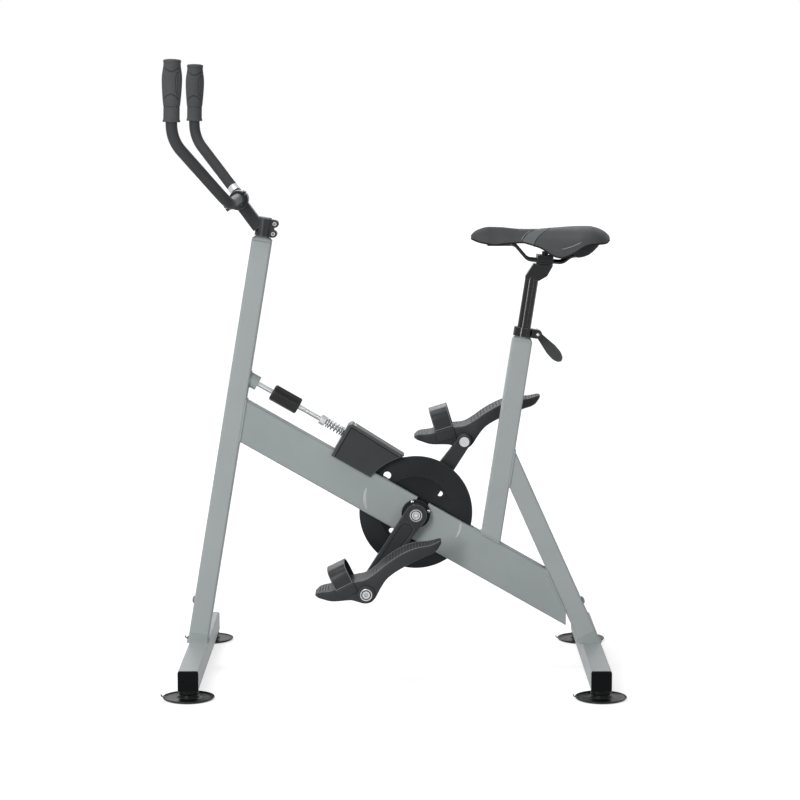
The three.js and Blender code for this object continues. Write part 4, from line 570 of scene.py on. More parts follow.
rib = rib_rise * (1 - np.exp(-(from_rib / rib_width) ** 2) + valley)
fade = np.clip(np.minimum(rise, knob_length - rise) / rib_fade, 0, 1) ** 0.5
bore = np.full((1, 120), knob_bore)
knob = np.vstack([bore, knob_radius - shrink[:, None] - rib * fade[:, None], bore])
rise = np.r_[bore_sink, rise, knob_length - bore_sink]
knob_piece = shaped("tension_knob_ribbed", surface(about_rod(knob_start + rise[:, None], knob, around)))
settle(knob_piece, knob_plastic, "tension_knob", 60)
formed("tension_nut", steel, 0.0009)

spring_from, spring_to = -248.1, -206.3
spring_radius, spring_wire, spring_curls, end_crowding = 8.9, 2.7, 7, 0.055
share = np.linspace(0, 1, spring_curls * 32 + 1)
climb = share - end_crowding * np.sin(2 * math.pi * share)  # the end curls lie closer than the middle ones
x = spring_from + spring_wire / 2 + climb * (spring_to - spring_from - spring_wire)
coil = about_rod(x, spring_radius, share * spring_curls * 2 * math.pi)
spring = shaped("tension_spring_coil", carried(coil, spring_wire / 2000, 12, leaned([1, 0, 0], beam_frame)))
spring.data.materials.append(steel)
spring.data.shade_smooth()
tuple(about_rod(spring_to, 0, 0))
tuple(about_rod(spring_from, 0, 0))
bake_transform(spring)
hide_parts("tension_spring")


# Brake cover: a moulded box of dark plastic that straddles the beam over the block and its felt pad. A flat
# band stands proud along its top and front edges, and two rivets hold it to the block from above.
cover_plastic = finish("dark_moulded_plastic", (60, 62, 63), 0.38, (20, 0.08), (850, 0.05),
                       (0.55, (126, 129, 130)), specular=0.12, edge=0.002)
cover_front, cover_rear, cover_top, cover_round, cover_half = -206.0, -86.0, 88.0, 9.0, 25.0
cover_rise = (7.5, 2.5)  # of its top over the block, at the front and at the rear
cover_corner = (cover_front, cover_top + cover_rise[0])


def cover_lift(x):
    """How far the cover's top stands over its flat height: a straight slope between its two ends."""
    return np.interp(x, (cover_front, cover_rear), cover_rise)


def carve(piece, cutters):
    """Takes the cutters' volumes out of a piece, one after another, and removes the cutters."""
    for cutter in cutters:
        tool = piece.modifiers.new("carve", "BOOLEAN")
        tool.operation = "DIFFERENCE"
        tool.solver = "EXACT"
        tool.object = cutter
    mesh = bpy.data.meshes.new_from_object(piece.evaluated_get(bpy.context.evaluated_depsgraph_get()))
    piece.modifiers.clear()
    piece.data = mesh
    for cutter in cutters:
        bpy.data.objects.remove(cutter)
    return piece


def slab(outline, half_width, place):
    """A flat cutter: the (x, z) outline in millimetres carried straight across, from side to side."""
    x, z = np.asarray(outline, float).T
    points = np.stack([points_of(x, side * half_width, z) for side in (-1, 1)])
    return shaped("cutter", surface(stand(points, place)))


def round_corner(corner, radius, excess=3.0):
    """What rounding takes off an upper front corner: the corner's square, less a quarter of a circle."""
    angle = np.linspace(math.pi / 2, math.pi, 12)
    x, z = corner[0] + radius + radius * np.cos(angle), corner[1] - radius + radius * np.sin(angle)
    outer = [(corner[0] - excess, corner[1] - radius), (corner[0] - excess, corner[1] + excess),
             (corner[0] + radius, corner[1] + excess)]
    return np.vstack([np.stack([x, z], -1), outer])


def read(items, what):
    """Three numbers of each vertex or face of a mesh, such as its place or its centre, as an array."""
    values = np.empty(len(items) * 3)
    items.foreach_get(what, values)
    return values.reshape(-1, 3)


def rounded_cover(node):
    """The cover with its top sloped and its upper front corner rounded."""
    cover = merged(node)
    own = into(beam_frame, read(cover.data.vertices, "co") * 1000)
    own[:, 2] += np.where(own[:, 2] > cover_top - 6, cover_lift(own[:, 0]), 0)
    cover.data.vertices.foreach_set("co", stand(own, beam_frame).ravel())
    return carve(cover, [slab(round_corner(cover_corner, cover_round), 40, beam_frame)])


formed("brake_cover", cover_plastic, 0.002, 20, rounded_cover)
formed("brake_block", finish("black_cast_block", (40, 42, 44), 0.55, (60, 0.2), (500, 0.12)))
felt = finish("brown_black_felt", (58, 52, 47), 0.95, (120, 0.35), (2600, 0.25), sheen=0.4)
formed("brake_pad", felt, 0.0006)
band_width, band_rise, band_in, gap_shade_in, gap_shade_radius = 6.0, 0.9, 2.6, 1.6, 0.9
bow = np.linspace(math.pi / 2, math.pi, 10)
bow_radius = cover_round - band_in
band_line = np.vstack([
    [(-86.5, cover_top - band_in + cover_rise[1]), (-140.0, cover_top - band_in + cover_lift(-140))],
    np.stack([cover_corner[0] + cover_round + bow_radius * np.cos(bow),
              cover_corner[1] - cover_round + bow_radius * np.sin(bow)], -1),
    [(cover_front + band_in, 50.0), (cover_front + band_in, 21.5)]])
band_profile = np.array([(-2.3, -0.4), (-2.3, 0.5), (-1.9, band_rise), (band_width - 3, band_rise),
                         (band_width - 2.5, 0.5), (band_width - 2.5, -0.4)])
band_plastic = finish("moulded_band_plastic", (74, 76, 77), 0.34, (20, 0.08), (850, 0.04),
                      (0.6, (140, 143, 144)), specular=0.12, edge=0.001)
# A near-black line along each band's inner edge is painted shade, standing for the shadow in the gap between
# band and cover.
gap_shade = finish("painted_gap_shade_line", (12, 13, 14), 0.6, (40, 0.1), (900, 0.02))
inward = sideways(band_line)
shade_line_x, shade_line_z = (band_line + inward * (band_width - gap_shade_in)).T
flat_x, flat_z = np.moveaxis(band_line[:, None] + inward[:, None] * band_profile[:, :1], -1, 0)
lip_angle = np.radians(np.linspace(133, 170.5, 40))[:, None]
lip_radius, lip_out = np.array([(111.5, 8.6), (120.4, 8.0), (120.4, 10.2), (111.8, 9.6)]).T
bands, gap_shades, lips = [], [], []
for side in (-1, 1):
    shade_line = stand(points_of(shade_line_x, side * cover_half, shade_line_z), beam_frame)
    gap_shades.append(carried(shade_line, gap_shade_radius / 1000, 8, (0, 1, 0)))
    flat_y = side * (cover_half + band_profile[:, 1])
    bands.append(surface(stand(points_of(flat_x, flat_y, flat_z), beam_frame)))
    lips.append(surface(stand(points_of(lip_radius * np.cos(lip_angle), side * lip_out,
                                        lip_radius * np.sin(lip_angle)), beam_frame)))
add("brake_cover_bands", bands, band_plastic, "brake_cover", 30)
add("brake_cover_gap_shade_lines", gap_shades, gap_shade, "brake_cover", 70)
add("brake_cover_splash_lips", lips, rubber, "brake_cover", 35)
rivet_outline = [(0, -1), (3.2, -1), (3.2, 0.3), (2.9, 1.0), (2.0, 1.7), (0.9, 2.0), (0, 2.05)]
rivet_x = -193
rivets = [turned(rivet_outline, 24, stand([rivet_x, y, cover_top + cover_lift(rivet_x)], beam_frame),
                 leaned([0, 0, 1], beam_frame), (0, 1, 0)) for y in (-15, 15)]
add("brake_cover_rivets", rivets, steel, "tension_spring", 50)


# Brake disc of cast iron, painted dark grey, turned thinner inside its braking ring, with two large and four
# small holes. It turns with the cranks in the beam's slot.
disc_iron = finish("dark_grey_disc_paint", (36, 38, 40), 0.36, (11, 0.16), (380, 0.05), (0.8, (96, 99, 101)),
                   specular=0.12)
half_disc = [(20, 14), (20, 2.8), (24, 2.8), (71.6, 2.8), (72.6, 3.4), (73.2, 4), (75.4, 4), (75.9, 3.6),
             (76.6, 3.6), (77.1, 4), (112.6, 4), (113.6, 3.6), (114, 2.8)]
disc_outline = [(7.8, 14)] + half_disc + [(r, -y) for r, y in half_disc[::-1]] + [(7.8, -14), (7.8, 14)]
disc = shaped("brake_disc_turned", turned(disc_outline, 144, crank_axis, (0, 1, 0)))
disc_holes = [(angle, 61.5, 5.5) for angle in (37.5, 127.5, 217.5, 307.5)]  # place round and out, and radius
disc_holes += [(127.5, 94.5, 7.8), (307.5, 94.5, 7.8)]
hole_cutters = []
for degrees, out, radius in disc_holes:
    angle = math.radians(degrees)
    place = crank_axis + np.array([math.cos(angle), 0, math.sin(angle)]) * out / 1000
    outline = [(0, -8), (radius, -8), (radius, 8), (0, 8)]
    hole_cutters.append(shaped("cutter", turned(outline, 32, place, (0, 1, 0))))
carve(disc, hole_cutters)
settle(disc, disc_iron, "brake_disc", 35)


# Cranks: one-piece arms of dark glass-filled plastic with a sunk panel, pressed on the axle's ends under
# steel caps with turned rings.
crank_plastic = finish("dark_crank_plastic", (58, 60, 61), 0.4, (16, 0.1), (650, 0.05),
                       (0.6, (124, 127, 128)), edge=0.002)
cap_outline = [(0, 43.4), (12.5, 43.4), (12.5, 45.2), (12.1, 45.9), (10.6, 46), (10.4, 45.8), (10.2, 44.4),
               (8.8, 44.4), (8.6, 45.8), (8.4, 46), (6.0, 46), (5.6, 45.6), (5.3, 43.7), (0, 43.7)]
# Turned grooves in the crank caps and pedal axles take a dark finish: painted shade in the grooves.
groove_shade = finish("painted_groove_shade", (52, 54, 56), 0.5, (60, 0.15), (900, 0.02), metallic=0.4)
groove_inner, groove_outer = 8.65, 10.35


def second_finish(piece, material, chosen):
    """Gives the chosen faces of a piece a second finish."""
    piece.data.materials.append(material)
    piece.data.polygons.foreach_set("material_index", chosen.astype(np.int32))


def shade_ring(piece, material, axis, inner, outer):
    """Gives the second finish, a painted shade, to the faces whose distance from an axis along Y lies between
    two radii.
    """
    radius = np.hypot(*(read(piece.data.polygons, "center") - axis)[:, ::2].T) * 1000
    second_finish(piece, material, (radius > inner) & (radius < outer))


for hand, side in side_of.items():
    formed(f"{hand}_crank", crank_plastic, 0.0014)
    node = f"{hand}_crank_bolt"
    cap = shaped(f"{node}_cap", turned(cap_outline, 60, crank_axis, (0, side, 0)))
    shade_ring(settle(cap, steel, node, 35), groove_shade, crank_axis, groove_inner, groove_outer)


# Pedals: foot-shaped shells of dark grey plastic, hollow below, with a boss for the axle, a fine raised rim
# along the tread's edges, ridges at the toe and rows of small grip dots on the tread.
pedal_plastic = finish("dark_grey_pedal_plastic", (61, 63, 64), 0.46, (14, 0.12), (700, 0.06),
                       (0.5, (118, 121, 122)), edge=0.0015)
# The raised rim and the toe ridges are painted paler than the shell: a painted highlight along them.
rim_highlight_plastic = finish("pale_rim_highlight_plastic", (122, 125, 126), 0.45, (25, 0.08), (700, 0.03), edge=0.0006)
pedal_length, pedal_rise, toe_length, pedal_half, pedal_middle = 248.6, 130.6, 101.0, 48.0, 107.0
pedal_frames = {"left": (-54.3358, 181.2566, 0.0), "right": (142.1358, 458.7434, 5.0)}
tread_line = [
    (0, -.03), (.036, .01), (.125, .045), (.205, .105), (.315, .18), (.403, .22), (.475, .31), (.555, .44),
    (.658, .575), (.73, .645), (.803, .69), (.912, .72), (1, .78)]
sole_line = [
    (0, -.06), (.022, -.078), (.058, -.09), (.146, -.118), (.286, -.1), (.336, -.123), (.394, -.15),
    (.43, -.142), (.475, -.072), (.519, .084), (.562, .211), (.621, .309), (.723, .421), (.876, .555),
    (.971, .645), (1, .73)]
plan_line = [
    (0, .42), (.02, .66), (.05, .82), (.12, .94), (.42, .94), (.52, 1), (.62, .97), (.74, .86), (.86, .72),
    (.94, .58), (.98, .44), (1, .3)]
axle_outline = [
    (0, 27.7), (10, 27.7), (10, 29.7), (7, 29.7), (7, 157.8), (12, 157.8), (12, 161.5), (11.4, 162.3),
    (9.7, 162.3), (9.4, 160.4), (7.8, 160.4), (7.5, 162.2), (3.9, 162.2), (3.6, 160), (0, 160)]
hub_outline = [(7.3, 47.6), (13.4, 47.6), (14, 48.2), (14, 154), (16.5, 154.6), (16.5, 156.9), (15.9, 157.5),
               (7.3, 157.5), (7.3, 47.6)]
bore_outline = [(0, 40), (13.9, 40), (13.9, 170), (0, 170)]


def eased(table, share):
    """A smooth curve through a table's points: cubic pieces whose slopes at each point are the mean of its
    neighbours' slopes, held to three times the smaller one so that no bump appears."""
    x, y = np.array(table, float).T
    share = np.asarray(share, float)
    slope = np.diff(y) / np.diff(x)
    limit = 3 * np.minimum(np.abs(slope[1:]), np.abs(slope[:-1]))
    mean = np.clip((slope[1:] + slope[:-1]) / 2, -limit, limit)
    lean = np.r_[slope[0], np.where(slope[1:] * slope[:-1] > 0, mean, 0), slope[-1]]
    i = np.clip(np.searchsorted(x, share, side="right") - 1, 0, len(x) - 2)
    width = x[i + 1] - x[i]
    t = (share - x[i]) / width
    return (y[i] * (1 + 2 * t) * (1 - t) ** 2 + lean[i] * width * t * (1 - t) ** 2
            + y[i + 1] * t * t * (3 - 2 * t) - lean[i + 1] * width * t * t * (1 - t))


def pedal_x(share):
    """Millimetres behind the pedal's axle: the share of the pedal's length, less the toe's length."""
    return -toe_length + share * pedal_length


def tread(share):
    """Height of the tread's edges over the pedal's axle: the eased tread table times the pedal's rise."""
    return eased(tread_line, share) * pedal_rise


def pedal_width(share):
    """Half the pedal's width at a share of its length: the eased plan table times its widest half."""
    return eased(plan_line, share) * pedal_half


def pedal_shell(share, inset, deepen, corner=4.0, deepest=2.5):
    """Rings of the pedal: a rounded box section between tread and sole, dished on top, at each share of the
    length, drawn in all round by the inset and carried down by the deepening."""
    share = share[:, None]
    top = tread(share) - inset
    bottom = eased(sole_line, share) * pedal_rise - deepen
    half = pedal_width(share) - inset
    thick = top - bottom
    curve = np.minimum(np.minimum(corner, half / 2), thick * 0.4)
    dish = np.minimum(deepest, thick * 0.25)
    quarter = np.linspace(0, math.pi / 2, 6)
    sin, cos = np.sin(quarter), np.cos(quarter)
    flat = np.linspace(1, -1, 17)[1:-1]
    inner = half - curve
    y = np.hstack([inner + curve * cos, flat * inner, -inner - curve * sin, -inner - curve * cos,
                   -flat * inner, inner + curve * sin])
    z = np.hstack([top - curve + curve * sin, top - dish * (1 - flat ** 2), top - curve + curve * cos,
                   bottom + curve - curve * sin, bottom + 0 * flat, bottom + curve - curve * cos])
    return points_of(pedal_x(share), y, z)


def on_pedal(points, hand):
    """Points about a pedal's own axle, moved out to the pedal's middle and put in its place."""
    return stand(np.asarray(points, float) + (0, side_of[hand] * pedal_middle, 0), pedal_frames[hand])


station = np.unique(np.r_[0, 0.004, 0.01, np.linspace(0.02, 0.98, 97), 0.99, 0.996, 1])
hollow_station = np.linspace(0.06, 0.9, 60)
edge_share = np.linspace(0.02, 0.985, 110)
rim_in, rim_sink, rim_radius, ridge_radius = 2.6, 0.35, 0.9, 1.1
ridge_shares, ridge_in, ridge_dish, ridge_deepest = (0.03, 0.052, 0.074, 0.096), 6, 1.4, 0.08
dot_radius, dot_height = np.array([(1.25, -0.3), (1.1, 0.35), (0.6, 0.6)]).T[:, :, None]
dot_edge, dot_dish, dot_shares, dot_columns = 5, 2.4, np.arange(0.46, 0.955, 0.024), np.arange(-40, 41, 6.7)
around = circle(8)
dot, dot_faces = surface(points_of(dot_radius * np.cos(around), dot_radius * np.sin(around), dot_height))
spot, y = (values.ravel() for values in np.meshgrid(dot_shares, dot_columns))
keep = np.abs(y) < pedal_width(spot) - dot_edge
spot, y = spot[keep, None], y[keep, None]
z = tread(spot) - dot_dish * (1 - (y / (pedal_width(spot) - 4)) ** 2)
step = 0.01
tilt = np.arctan((tread(spot + step) - tread(spot - step)) / (2 * step * pedal_length))
spots = points_of(pedal_x(spot) + dot[:, 0] * np.cos(tilt) - dot[:, 2] * np.sin(tilt), y + dot[:, 1],
                  z + dot[:, 0] * np.sin(tilt) + dot[:, 2] * np.cos(tilt))
spot_faces = [[i + n * len(dot) for i in face] for n in range(len(spot)) for face in dot_faces]
for hand, side in side_of.items():
    node = f"{hand}_pedal"
    axle = stand([0, 0, 0], pedal_frames[hand])
    shell = shaped(f"{node}_shell", surface(on_pedal(pedal_shell(station, 0, 0), hand)))
    hollow = shaped("cutter", surface(on_pedal(pedal_shell(hollow_station, 4, 6), hand)))
    carve(shell, [hollow, shaped("cutter", turned(bore_outline, 48, axle, (0, side, 0)))])
    hub = shaped("hub", turned(hub_outline, 48, axle, (0, side, 0)))
    joined = bmesh.new()
    joined.from_mesh(shell.data)
    joined.from_mesh(hub.data)
    joined.to_mesh(shell.data)
    joined.free()
    bpy.data.objects.remove(hub)
    settle(shell, pedal_plastic, node, 38)
    dots = [(on_pedal(spots, hand).reshape(-1, 3), spot_faces)]
    add(f"{node}_grip_dots", dots, pedal_plastic, node, 50)

    lines = []
    for edge in (-1, 1):
        path = points_of(pedal_x(edge_share), edge * (pedal_width(edge_share) - rim_in),
                         tread(edge_share) - rim_sink)
        lines.append(carried(on_pedal(path, hand), rim_radius / 1000, 8, (0, 0, 1)))
    for ridge in ridge_shares:
        reach = float(pedal_width(ridge)) - ridge_in
        across = np.linspace(-reach, reach, 24)
        dish = ridge_dish * (1 - (across / reach) ** 2) * min(1, ridge / ridge_deepest)
        path = points_of(pedal_x(ridge), across, tread(ridge) - dish)
        lines.append(carried(on_pedal(path, hand), ridge_radius / 1000, 8))
    add(f"{node}_rim", lines, rim_highlight_plastic, node, 70)

    pin = shaped(f"{node}_axle_turned", turned(axle_outline, 48, axle, (0, side, 0)))
    shade_ring(settle(pin, steel, f"{node}_axle", 35), groove_shade, axle, 7.6, 9.5)


# Foot straps of black moulded rubber, each an arch over the toe with its ends clipped to the pedal's sides.
# Each leg's lower half has an outer layer; a pale line painted as a highlight marks where it ends, and
# another runs along each edge.
strap_rubber = finish("black_strap_rubber", (50, 52, 54), 0.34, (22, 0.12), (900, 0.05),
                      (0.5, (118, 121, 123)), specular=0.16, edge=0.0005)
strap_highlight_rubber = finish("pale_strap_highlight", (128, 131, 133), 0.5, (30, 0.1), (900, 0.04), edge=0.0005)
strap_half, strap_width, strap_foot = 46.9, 38.0, (-34.3, -2.0)
strap_shapes = {"left": (63.0, -26.5), "right": (69.0, -22.0)}  # height in millimetres and lean in degrees
strap_thickness, layer_thickness, layer_out, layer_lip = 2.6, 2.0, 1.3, 1.2
crown_rise, haunch_rise, crown_skin = 9, 4.5, 1.5  # over the corners; the skin lies over the middle line
end_out, end_radius, edge_in, edge_radius, edge_lift = 1.35, 0.7, 1.2, 0.6, 1.2  # of the pale lines
leg_count = 14  # points of each leg that the outer layer covers


def curved(start, corner, end, steps):
    """A parabola from start to end, drawn towards the corner."""
    t = np.linspace(0, 1, steps)[:, None]
    start, corner, end = (np.array(point, float) for point in (start, corner, end))
    return start * (1 - t) ** 2 + 2 * corner * t * (1 - t) + end * t * t


def arch(height):
    """Middle line of the strap in (across, up): straight upright legs, then a parabola for each corner and
    one for the low crown."""
    top = height - crown_rise - crown_skin
    corner = strap_half * 0.4
    haunch = top + haunch_rise
    leg = np.stack([np.full(26, -strap_half), np.linspace(0, top - corner, 26)], -1)
    left = curved((-strap_half, top - corner), (-strap_half, top), (-strap_half + corner, haunch), 14)
    crown = curved((-strap_half + corner, haunch), (0, top + crown_rise), (strap_half - corner, haunch), 14)
    return np.vstack([leg, left[1:], crown[1:], left[-2::-1] * [-1, 1], leg[-2::-1] * [-1, 1]])


def layer(line, width, thick):
    """A flat band along a line in one plane: a slim section with rounded edges at each point, whose
    thickness may change from point to point."""
    angle = circle(20)
    flat, deep = bulged(np.cos(angle), 0.12), bulged(np.sin(angle), 0.9)
    reach = np.reshape(thick, (-1, 1)) / 2 * deep
    across, up = np.moveaxis(line[:, None] + sideways(line)[:, None] * reach[..., None], -1, 0)
    return points_of(flat * width / 2, across, up)


def on_strap(points, hand):
    """Points in the strap's leaning frame, brought to the pedal's frame and put in their place."""
    return on_pedal(stand(points, strap_foot + strap_shapes[hand][1:]) * 1000, hand)


for hand in side_of:
    line = arch(strap_shapes[hand][0])
    thick = np.full(leg_count, layer_thickness)
    thick[-1] = layer_lip
    layers = [layer(line, strap_width, strap_thickness),
              layer(line[:leg_count] + [-layer_out, 0], strap_width + 1, thick),
              layer(line[-leg_count:] + [layer_out, 0], strap_width + 1, thick[::-1])]
    strap = shaped(f"{hand}_strap_arch", *[surface(on_strap(points, hand)) for points in layers])
    settle(strap, strap_rubber, f"{hand}_strap", 60)
    across = np.linspace(-strap_width / 2 + 1, strap_width / 2 - 1, 12)
    y, z = (line + edge_lift * sideways(line))[leg_count:-leg_count].T
    ends = [points_of(across, edge * (strap_half + end_out), line[leg_count + 1][1]) for edge in (-1, 1)]
    trims = [carried(on_strap(path, hand), end_radius / 1000, 8, (0, 0.2, 1)) for path in ends]
    rims = [points_of(edge * (strap_width / 2 - edge_in), y, z) for edge in (-1, 1)]
    trims += [carried(on_strap(path, hand), edge_radius / 1000, 8) for path in rims]
    add(f"{hand}_strap_highlight_lines", trims, strap_highlight_rubber, f"{hand}_strap", 70)


# Seat clamp: a gloss black collar drawn tight on the seat tube's neck by a steel skewer, with a round nut on
# the left and a cam lever of dark plastic on the right.
gloss_black = finish("gloss_black_paint", (4, 5, 6), 0.14, (18, 0.18), (350, 0.012), (0.5, (110, 113, 116)),
                     specular=0.35)
formed("seat_clamp", gloss_black, 0.0008)
formed("clamp_skewer", gloss_black, 0.0006)
skewer_place = (0.2869872, min(corner[1] for corner in nodes["clamp_skewer"].bound_box), 0.680551)
skewer_outline = [(0, -0.6), (3.3, -0.6), (3.3, 0.5), (2.9, 1.3), (1.7, 1.9), (0, 2.0)]
skewer_end = turned(skewer_outline, 28, skewer_place, (0, -1, 0))
add("clamp_skewer_end", [skewer_end], steel, "clamp_skewer", 40)
lever_plastic = finish("dark_lever_plastic", (73, 75, 75), 0.4, (20, 0.1), (700, 0.04),
                       (0.5, (126, 128, 129)))
formed("clamp_lever", lever_plastic, 0.0014)
lever_frame = (286.9872, 680.551, 49.0)
leaf_start, leaf_length, leaf_middle, leaf_half = 6.0, 69.5, 24.0, 3.3
leaf_widths = [(0, 6.0), (.12, 7.2), (.35, 9.6), (.58, 11.6), (.76, 11.2), (.9, 8.4), (.97, 5.0), (1, 1.2)]
share = (1 - np.linspace(1, 0, 60) ** 1.5)[:, None]
around = circle(32)
thick = leaf_half * np.clip((1 - share) / 0.2, 0.1, 1) ** 0.4
leaf = points_of(leaf_start + share * leaf_length, leaf_middle + thick * np.sin(around),
                 eased(leaf_widths, share) * bulged(np.cos(around), 0.7))
add("clamp_lever_leaf", [surface(stand(leaf, lever_frame))], lever_plastic, "clamp_lever", 60)


# Seatpost: a gloss black steel tube that slides in the seat tube, with a forged head. The rail clamp on it
# rocks on a curved seat and is drawn together by one bolt from above.
formed("seatpost", gloss_black, 0.0009)
head_paint = finish("black_forged_clamp", (24, 26, 28), 0.34, (30, 0.15), (500, 0.05),
                    (0.55, (112, 115, 118)), specular=0.16)
formed("rail_cradle", head_paint, 0.0008)
formed("rail_plate", head_paint, 0.001)
formed("rail_bolt", head_paint, 0.0006)


# Saddle rails: one black steel rod bent to a hairpin, its ends in the shell's tail blocks. The rail clamp
# grips the two straight middle lengths.
def bent(corners, trims, steps=10):
    """A line through corners with each inner corner rounded: a parabola whose ends lie its trim away."""
    corners = np.array(corners, float)
    parts = [corners[:1]]
    for before, here, after, trim in zip(corners[:-2], corners[1:-1], corners[2:], trims):
        start = here + (before - here) * trim / np.linalg.norm(before - here)
        end = here + (after - here) * trim / np.linalg.norm(after - here)
        parts.append(curved(start, here, end, steps))
    return np.vstack(parts + [corners[-1:]])


saddle_frame = (299.8, 827.5, 0.0)
rail_slope, rail_radius = math.tan(math.radians(5.2)), 3.5
rail_half = [(71, 22, 10.5), (52, 22, 10.5), (35, 22, -35 * rail_slope), (-34, 22, 34 * rail_slope),
             (-60, 22, 33.4), (-104, 9, 35)]
rail_line = bent(rail_half + [(x, -y, z) for x, y, z in rail_half[::-1]], [8] * 10)
rail = carried(stand(rail_line, saddle_frame), rail_radius / 1000, 20, (0, 0.05, 1))
rails = shaped("saddle_rails_rod", rail)
settle(rails, gloss_black, "saddle_rails", 60)


# Saddle: a moulded shell of dark plastic under a foam pad, covered in grey-black synthetic leather sewn of
# three panels, with a paler band across the flanks and a black piping round the lower edge.
shell_plastic = finish("dark_shell_plastic", (34, 36, 38), 0.26, (22, 0.15), (500, 0.03),
                       (0.45, (112, 116, 120)), specular=0.2)
tail_line = np.array([(50, 19), (54, 17), (57, 12.5), (61, 9.6), (66, 8.6), (76, 10.2), (86, 14), (95, 20.6),
                      (103, 29), (112, 38)])


def trimmed_shell(node):
    """The shell with the lower corners of its tail blocks cut back along the tail's line."""
    below = np.vstack([tail_line, [(112, -5), (50, -5)]])
    return carve(merged(node), [slab(below, 40, saddle_frame)])


formed("saddle_shell", shell_plastic, 0.0012, 50, trimmed_shell)
share = np.linspace(0, 1, 60)[:, None]
lobe_start, lobe_length, lobe_out, lobe_half = 53.0, 56.0, 24.5, 12.6
lobe_x = lobe_start + lobe_length * share
lobe_top = np.interp(lobe_x, [53, 60, 100, 109], [22, 44, 48, 40])
lobe_low = np.interp(lobe_x, *tail_line.T) - 2.0
round_end = np.sqrt(np.clip(1 - (2 * share - 1) ** 6, 0.002, 1))
wide, high = bulged(np.cos(around), 0.65), bulged(np.sin(around), 0.65)
lobe_y = lobe_half * round_end * wide
lobe_z = (lobe_top + lobe_low) / 2 + (lobe_top - lobe_low) / 2 * np.clip(round_end * 1.2, 0, 1) * high
lobes = [surface(stand(points_of(lobe_x, y + lobe_y, lobe_z), saddle_frame)) for y in (-lobe_out, lobe_out)]
add("saddle_tail_lobes", lobes, shell_plastic, "saddle_shell", 70)
saddle_length, nose_length, saddle_rise, saddle_half, foam = 274.4, 146.6, 68.8, 77.0, 22
ridge_line = [
    (0, .74), (.02, .83), (.053, .908), (.127, .983), (.22, .971), (.35, .92), (.48, .912), (.61, .952),
    (.747, .99), (.85, 1), (.914, .955), (.97, .85), (1, .74)]
edge_line = [
    (0, .64), (.047, .56), (.12, .494), (.166, .46), (.23, .494), (.3, .52), (.367, .54), (.413, .5),
    (.468, .439), (.514, .366), (.56, .238), (.606, .154), (.652, .13), (.689, .183), (.743, .294),
    (.798, .44), (.853, .515), (.917, .53), (.97, .55), (1, .64)]
saddle_plan = [
    (0, .07), (.015, .15), (.04, .21), (.1, .26), (.2, .29), (.35, .36), (.48, .49), (.6, .74), (.7, .92),
    (.8, 1), (.88, .985), (.945, .84), (.985, .6), (1, .4)]
band_front, band_rear, band_sweep = 0.493, 0.583, 0.138
unblown = 0.3  # how much lower the ridge is laid than it ends, once the cover is blown up
sweep_middle, sweep_reach = 0.54, 0.16
under_half = 0.94  # half width of the underside, as a share of the top's


def swept(rows, t):
    """How far forward, as a share of the length, a row runs at t of the half width: the band's sweep times a
    power of t, and a bell curve of how far the row lies from the band."""
    return band_sweep * np.abs(t) ** 1.3 * np.exp(-((rows - sweep_middle) / sweep_reach) ** 2)


def saddle_pad(rows, columns):
    """Rings of the pad at each share of its length, swept forward on the flanks beside the band.

    Across, the top falls from the ridge to the edge as a power of a power curve, flat in the middle and round
    at the sides; the underside lies below it by the foam's thickness, which thins to a lip at the edges.
    """
    t = bulged(np.sin(np.linspace(-1, 1, columns) * math.pi / 2), 0.9)
    share = rows[:, None] - swept(rows[:, None], t)
    ridge = eased(ridge_line, share) * saddle_rise - unblown
    edge = eased(edge_line, share) * saddle_rise
    half = eased(saddle_plan, share) * saddle_half
    crown = edge + (ridge - edge) * (1 - np.abs(t) ** 2.6) ** 0.55
    under = crown - np.minimum(foam, (ridge - edge) * 0.62) * (1 - t ** 2) - 2 * t ** 2
    x = -nose_length + share * saddle_length
    below = points_of(x, t * half * under_half, under)[:, -2:0:-1]
    return np.concatenate([points_of(x, t * half, crown), below], 1), t


